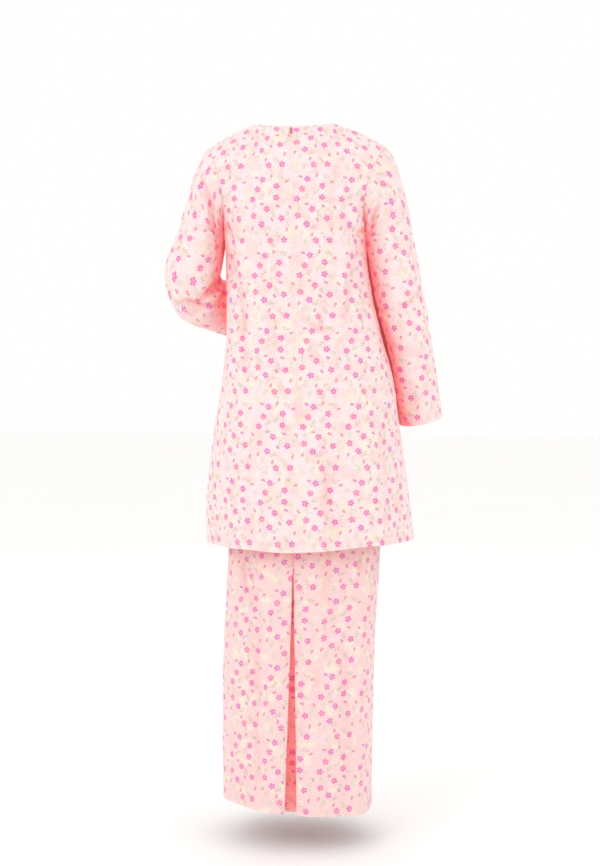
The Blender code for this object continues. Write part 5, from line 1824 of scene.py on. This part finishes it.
class KURUNG_OT_skirt(bpy.types.Operator):
    """Add the skirt's panels and the underlay of its pleat"""

    bl_idname = "kurung.skirt"
    bl_label = "Skirt"

    def execute(self, context):
        strength = context.scene.kurung_cloth.crease_strength
        front, underlay = skirt_front_grid(strength), underlay_grid(strength)
        left = back_panel(1, PLEAT_OPEN_LEFT, strength)
        right = back_panel(-1, PLEAT_OPEN_RIGHT, strength)
        front_out, left_out, right_out = (face_normals(grid, False) for grid in (front, left, right))
        share_edge(front_out[:, -1], left_out[:, 0])
        share_edge(front_out[:, 0], right_out[:, -1])
        from_left = lengths_along(right, 1)
        choices = (
            ("skirt_front", front, front_out, FRONT_COLUMNS // 2, side_distance(front)),
            ("skirt_back_left", left, left_out, 0, lengths_along(left, 1)),
            ("skirt_back_right", right, right_out, right.shape[1] - 1, from_left[:, -1:] - from_left),
        )
        for name, points, outward, middle, from_seam in choices:
            flat = flat_panel(points, middle)
            points = seam_roll(points, outward, from_seam, SKIRT_SEED + 1)
            self.hang(context, name, Surface(points, outward, flat, False, None))
        flat = flat_panel(underlay, underlay.shape[1] // 2) + (UNDERLAY_PRINT_SHIFT, 0)
        outward = face_normals(underlay, False)
        self.hang(context, "pleat_underlay", Surface(underlay, outward, flat, False, None))
        return {"FINISHED"}

    def hang(self, context, name, surface):
        sew(name, "skirt", surface, [row_line(surface, context.scene.kurung_sewing.skirt_hem)])


class KURUNG_OT_waistband(bpy.types.Operator):
    """Add the gathered waistband"""

    bl_idname = "kurung.waistband"
    bl_label = "Waistband"

    def execute(self, context):
        points = waistband_grid()
        outward = face_normals(points, True)
        flat = flat_tube(points)
        around = flat[0, :-1, 0]
        drift = GATHER_UNEVEN * np.sin(around / GATHER_DRIFT)
        ripple = np.sin(around / GATHER_PITCH * 2 * math.pi + drift) * GATHER_DEPTH
        share = np.sin(np.linspace(0, math.pi, len(points)))[:, None]
        points = points + (share * ripple)[..., None] * outward
        surface = Surface(points, outward, flat, True, None)
        sew("skirt_waistband", "skirt", surface, [row_line(surface, height) for height in BAND_STITCHING])
        return {"FINISHED"}


class KURUNG_OT_zip(bpy.types.Operator):
    """Add the zip's tape and coil, and finish its slider and tab"""

    bl_idname = "kurung.zip"
    bl_label = "Zip"

    def execute(self, context):
        sewing = context.scene.kurung_sewing
        back, slit = back_grid()
        tape = zip_tape_grid(back, face_normals(back, False), slit)
        normals = face_normals(tape, False)
        surface = Surface(tape, normals, flat_panel(tape, 1), False, None)
        twill = woven_tape("woven_tape", sewing.tape)
        made = add_shell("zip_tape_weave", surface, twill, twill, ZIP_TAPE_THICKNESS)
        rings = coil_rings(tape[:, 1], normals[:, 1])
        coil = mesh_from("zip_coil", rings.reshape(-1, 3), tube_faces(len(rings)))
        coil.data.materials.append(coil_nylon("coil_nylon", sewing.tape))
        coil.data.shade_smooth()
        declare(made, "zip_tape", coil)
        metal = lacquered_metal("slider_lacquer", sewing.metal)
        for node in ("zip_slider", "zip_pull_tab"):
            for slot in frame["nodes"][node].material_slots:
                slot.material = metal
        return {"FINISHED"}


# ---------------- painted fold shade

FOLD_RAYS = 24
FOLD_REACH = 0.120  # how near other cloth has to be to shade a point
FOLD_CELL = 0.008  # points this close share one reading
FOLD_START = 0.0025  # above the cloth, where its rays start
FOLD_SLANT = 0.05  # flatter rays than this are left out
FOLD_SPREAD = 12  # times that readings are blended with their neighbours'
HOLLOW_SPREAD = 30  # times that the cloth is smoothed to find its hollows
HOLLOW_START = 0.0003
HOLLOW_DEPTH = 0.0022  # of a hollow with the full painted shade
HOLLOW_SHARE = 0.24
RIM_AGREES = 0.6  # least agreement of the normals of two points on the same side of the cloth


def mesh_values(items, name, kind, width):
    """A property of a mesh's points, edges or corners, as rows of width values."""
    values = np.empty(len(items) * width, kind)
    items.foreach_get(name, values)
    return values.reshape(-1, width)


def ray_directions(count):
    """Directions spread evenly over a ball."""
    step = np.arange(count) + 0.5
    up = 1 - 2 * step / count
    turn = step * math.pi * (1 + 5**0.5)
    flat = np.sqrt(1 - up * up)
    return np.stack([flat * np.cos(turn), flat * np.sin(turn), up], axis=1)


def closed_in(tree, points, normals, rays):
    """From 0 in the open to 1 where other cloth closes in on a point from all sides."""
    cells = np.floor(points / FOLD_CELL).astype(int)
    sides = np.round(normals * 0.9).astype(int)
    keys, inverse = np.unique(np.concatenate([cells, sides], axis=1), axis=0, return_inverse=True)
    inverse = inverse.reshape(-1)
    count = np.bincount(inverse, minlength=len(keys))[:, None]
    centre, facing = np.zeros((len(keys), 3)), np.zeros((len(keys), 3))
    np.add.at(centre, inverse, points)
    np.add.at(facing, inverse, normals)
    centre, facing = centre / count, unit(facing + 1e-9)
    readings = np.zeros(len(keys))
    for key, (place, way) in enumerate(zip(centre, facing)):
        start = Vector(place + FOLD_START * way)
        weights = rays @ way
        above = weights > FOLD_SLANT
        met = 0.0
        for ray, weight in zip(rays[above], weights[above]):
            gap = tree.ray_cast(start, Vector(ray), FOLD_REACH)[3]
            if gap is not None:
                met += weight * (1 - gap / FOLD_REACH)
        readings[key] = met / weights[above].sum()
    return readings[inverse]


def without_rim(values, rim, ends):
    """The values, with those of the cut edges taken from the points beside them."""
    first, last = ends.T
    total, count = np.zeros(len(values)), np.zeros(len(values))
    for here, there in ((first, last), (last, first)):
        beside = rim[here] & ~rim[there]
        total += np.bincount(here[beside], values[there[beside]], len(values))
        count += np.bincount(here[beside], minlength=len(values))
    return np.where(rim & (count > 0), total / np.maximum(count, 1), values)


def spread(values, ends, times):
    """Values blended, a number of times, with those of the points that edges join them to."""
    table = values.reshape(len(values), -1).astype(float)
    first, last = ends.T
    shared = np.maximum(np.bincount(ends.ravel(), minlength=len(table)), 1)[:, None]
    for _ in range(times):
        total = [
            np.bincount(first, line[last], len(table)) + np.bincount(last, line[first], len(table))
            for line in table.T
        ]
        joined = np.stack(total, axis=1)
        table = np.where(joined == 0, table, 0.5 * table + 0.5 * joined / shared)
    return table.reshape(values.shape)


def fold_tone(mesh, points, tree, rays):
    """How closed in each point of a piece is, by other cloth or in a hollow of its own: the amount of shade
    and glow that its finish paints there.
    """
    normals = mesh_values(mesh.vertices, "normal", np.float32, 3)
    ends = mesh_values(mesh.edges, "vertices", np.int32, 2)
    agree = (normals[ends[:, 0]] * normals[ends[:, 1]]).sum(axis=1) > RIM_AGREES
    rim = np.zeros(len(points), bool)
    rim[ends[~agree]] = True
    ends = ends[agree]
    shut = spread(without_rim(closed_in(tree, points, normals, rays), rim, ends), ends, FOLD_SPREAD)
    hollow = ((spread(points, ends, HOLLOW_SPREAD) - points) * normals).sum(axis=1)
    hollow = np.clip((hollow + HOLLOW_START) / HOLLOW_DEPTH, 0, 1)
    return 1 - (1 - np.clip(shut, 0, 1)) * (1 - HOLLOW_SHARE * hollow)


class KURUNG_OT_painted_fold_shade(bpy.types.Operator):
    """Store on each cloth piece how closed in its folds are, so that its finish paints shade and glow there
    """

    bl_idname = "kurung.fold_tone"
    bl_label = "Fold tone"

    def execute(self, context):
        pieces = [item.data for item in bpy.data.objects if item.name.endswith("_cloth")]
        if not pieces:
            raise RuntimeError("the cloth pieces come first")
        points, faces, start = [], [], 0
        for mesh in pieces:
            points.append(mesh_values(mesh.vertices, "co", np.float32, 3))
            faces.append(mesh_values(mesh.loops, "vertex_index", np.int32, 1).reshape(-1, 4) + start)
            start += len(mesh.vertices)
        tree = BVHTree.FromPolygons(np.concatenate(points).tolist(), np.concatenate(faces).tolist())
        rays = ray_directions(FOLD_RAYS)
        for mesh, place in zip(pieces, points):
            # The fold attribute: how much shade and glow the finish paints at each point.
            layer = mesh.attributes.new("fold", "FLOAT", "POINT")
            layer.data.foreach_set("value", fold_tone(mesh, place, tree, rays).astype(np.float32))
        return {"FINISHED"}


# ---------------- stage

FLOOR_REACH = 14.0
SKY_COLOUR = (1.0, 0.995, 0.99, 1)
SENSOR_WIDTH = 36
LIGHT_AIM = (0, 0, -0.6)  # the middle of the garment
LIGHTS = (  # name, place, width and height, the setting of its power and the share of it
    ("key", (1.9, 3.0, 1.9), (2.2, 2.2), "key_power", 1.0),
    ("fill_right", (-3.2, 1.6, 0.2), (2.2, 2.6), "fill_power", 1.0),
    ("front", (0.8, -3.4, 1.4), (2.6, 2.6), "fill_power", 1.6),
)


def put(name, data, place):
    """An object in the scene."""
    made = bpy.data.objects.new(name, data)
    made.location = place
    bpy.context.scene.collection.objects.link(made)
    return made


class KURUNG_OT_stage(bpy.types.Operator):
    """Add the floor, the soft lights and the camera"""

    bl_idname = "kurung.stage"
    bl_label = "Stage"

    def execute(self, context):
        scene, stage = context.scene, context.scene.kurung_stage
        mesh = bpy.data.meshes.new("floor")
        corners = ((-1, -1), (1, -1), (1, 1), (-1, 1))
        corners = [(x * FLOOR_REACH, y * FLOOR_REACH, stage.floor) for x, y in corners]
        mesh.from_pydata(corners, [], [(0, 1, 2, 3)])
        mesh.materials.append(pale_floor("pale_floor", stage.floor_colour))
        put("floor", mesh, (0, 0, 0))

        scene.world = bpy.data.worlds.new("studio")
        scene.world.use_nodes = True
        sky = scene.world.node_tree.nodes["Background"].inputs
        sky["Color"].default_value = SKY_COLOUR
        sky["Strength"].default_value = stage.sky

        for name, place, size, power, share in LIGHTS:
            data = bpy.data.lights.new(name, "AREA")
            data.shape = "RECTANGLE"
            data.size, data.size_y = size
            data.energy = getattr(stage, power) * share
            way = Vector(LIGHT_AIM) - Vector(place)
            put(name, data, place).rotation_euler = way.to_track_quat("-Z", "Y").to_euler()

        data = bpy.data.cameras.new("camera")
        data.lens = stage.lens
        data.sensor_width = SENSOR_WIDTH
        turn, distance = stage.azimuth, stage.distance
        camera = put("camera", data, (distance * math.sin(turn), -distance * math.cos(turn), stage.height))
        camera.rotation_euler = (math.radians(90) - stage.pitch, 0, turn)
        scene.camera = camera
        scene.view_settings.view_transform = "Standard"
        return {"FINISHED"}


class KURUNG_PT_panel(bpy.types.Panel):
    """The garment's settings and the buttons that add its pieces"""

    bl_label = "Baju Kurung"
    bl_idname = "KURUNG_PT_panel"
    bl_space_type = "VIEW_3D"
    bl_region_type = "UI"
    bl_category = "Baju Kurung"

    def draw(self, context):
        for group, operators in PANEL_ROWS:
            box = self.layout.box()
            settings = getattr(context.scene, group)
            for name in settings.bl_rna.properties.keys():
                if name not in ("rna_type", "name"):
                    box.prop(settings, name)
            for operator in operators:
                box.operator(operator)


PANEL_ROWS = (
    ("kurung_cloth", ("kurung.tunic", "kurung.sleeves", "kurung.skirt", "kurung.waistband")),
    ("kurung_print", ("kurung.fold_tone",)),
    ("kurung_sewing", ("kurung.zip",)),
    ("kurung_stage", ("kurung.stage",)),
)
SETTINGS = {
    "kurung_cloth": ClothSettings,
    "kurung_print": PrintSettings,
    "kurung_sewing": SewingSettings,
    "kurung_stage": StageSettings,
}
OPERATORS = (
    KURUNG_OT_tunic,
    KURUNG_OT_sleeves,
    KURUNG_OT_skirt,
    KURUNG_OT_waistband,
    KURUNG_OT_zip,
    KURUNG_OT_painted_fold_shade,
    KURUNG_OT_stage,
)


def register():
    for kind in (*SETTINGS.values(), *OPERATORS, KURUNG_PT_panel):
        bpy.utils.register_class(kind)
    for name, kind in SETTINGS.items():
        setattr(bpy.types.Scene, name, bpy.props.PointerProperty(type=kind))


def unregister():
    for name in SETTINGS:
        delattr(bpy.types.Scene, name)
    for kind in (KURUNG_PT_panel, *reversed(OPERATORS), *SETTINGS.values()):
        bpy.utils.unregister_class(kind)


def main():
    register()
    bpy.ops.kurung.tunic()
    bpy.ops.kurung.sleeves()
    bpy.ops.kurung.skirt()
    bpy.ops.kurung.waistband()
    bpy.ops.kurung.zip()
    bpy.ops.kurung.fold_tone()
    bpy.ops.kurung.stage()


if __name__ == "__main__":
    main()
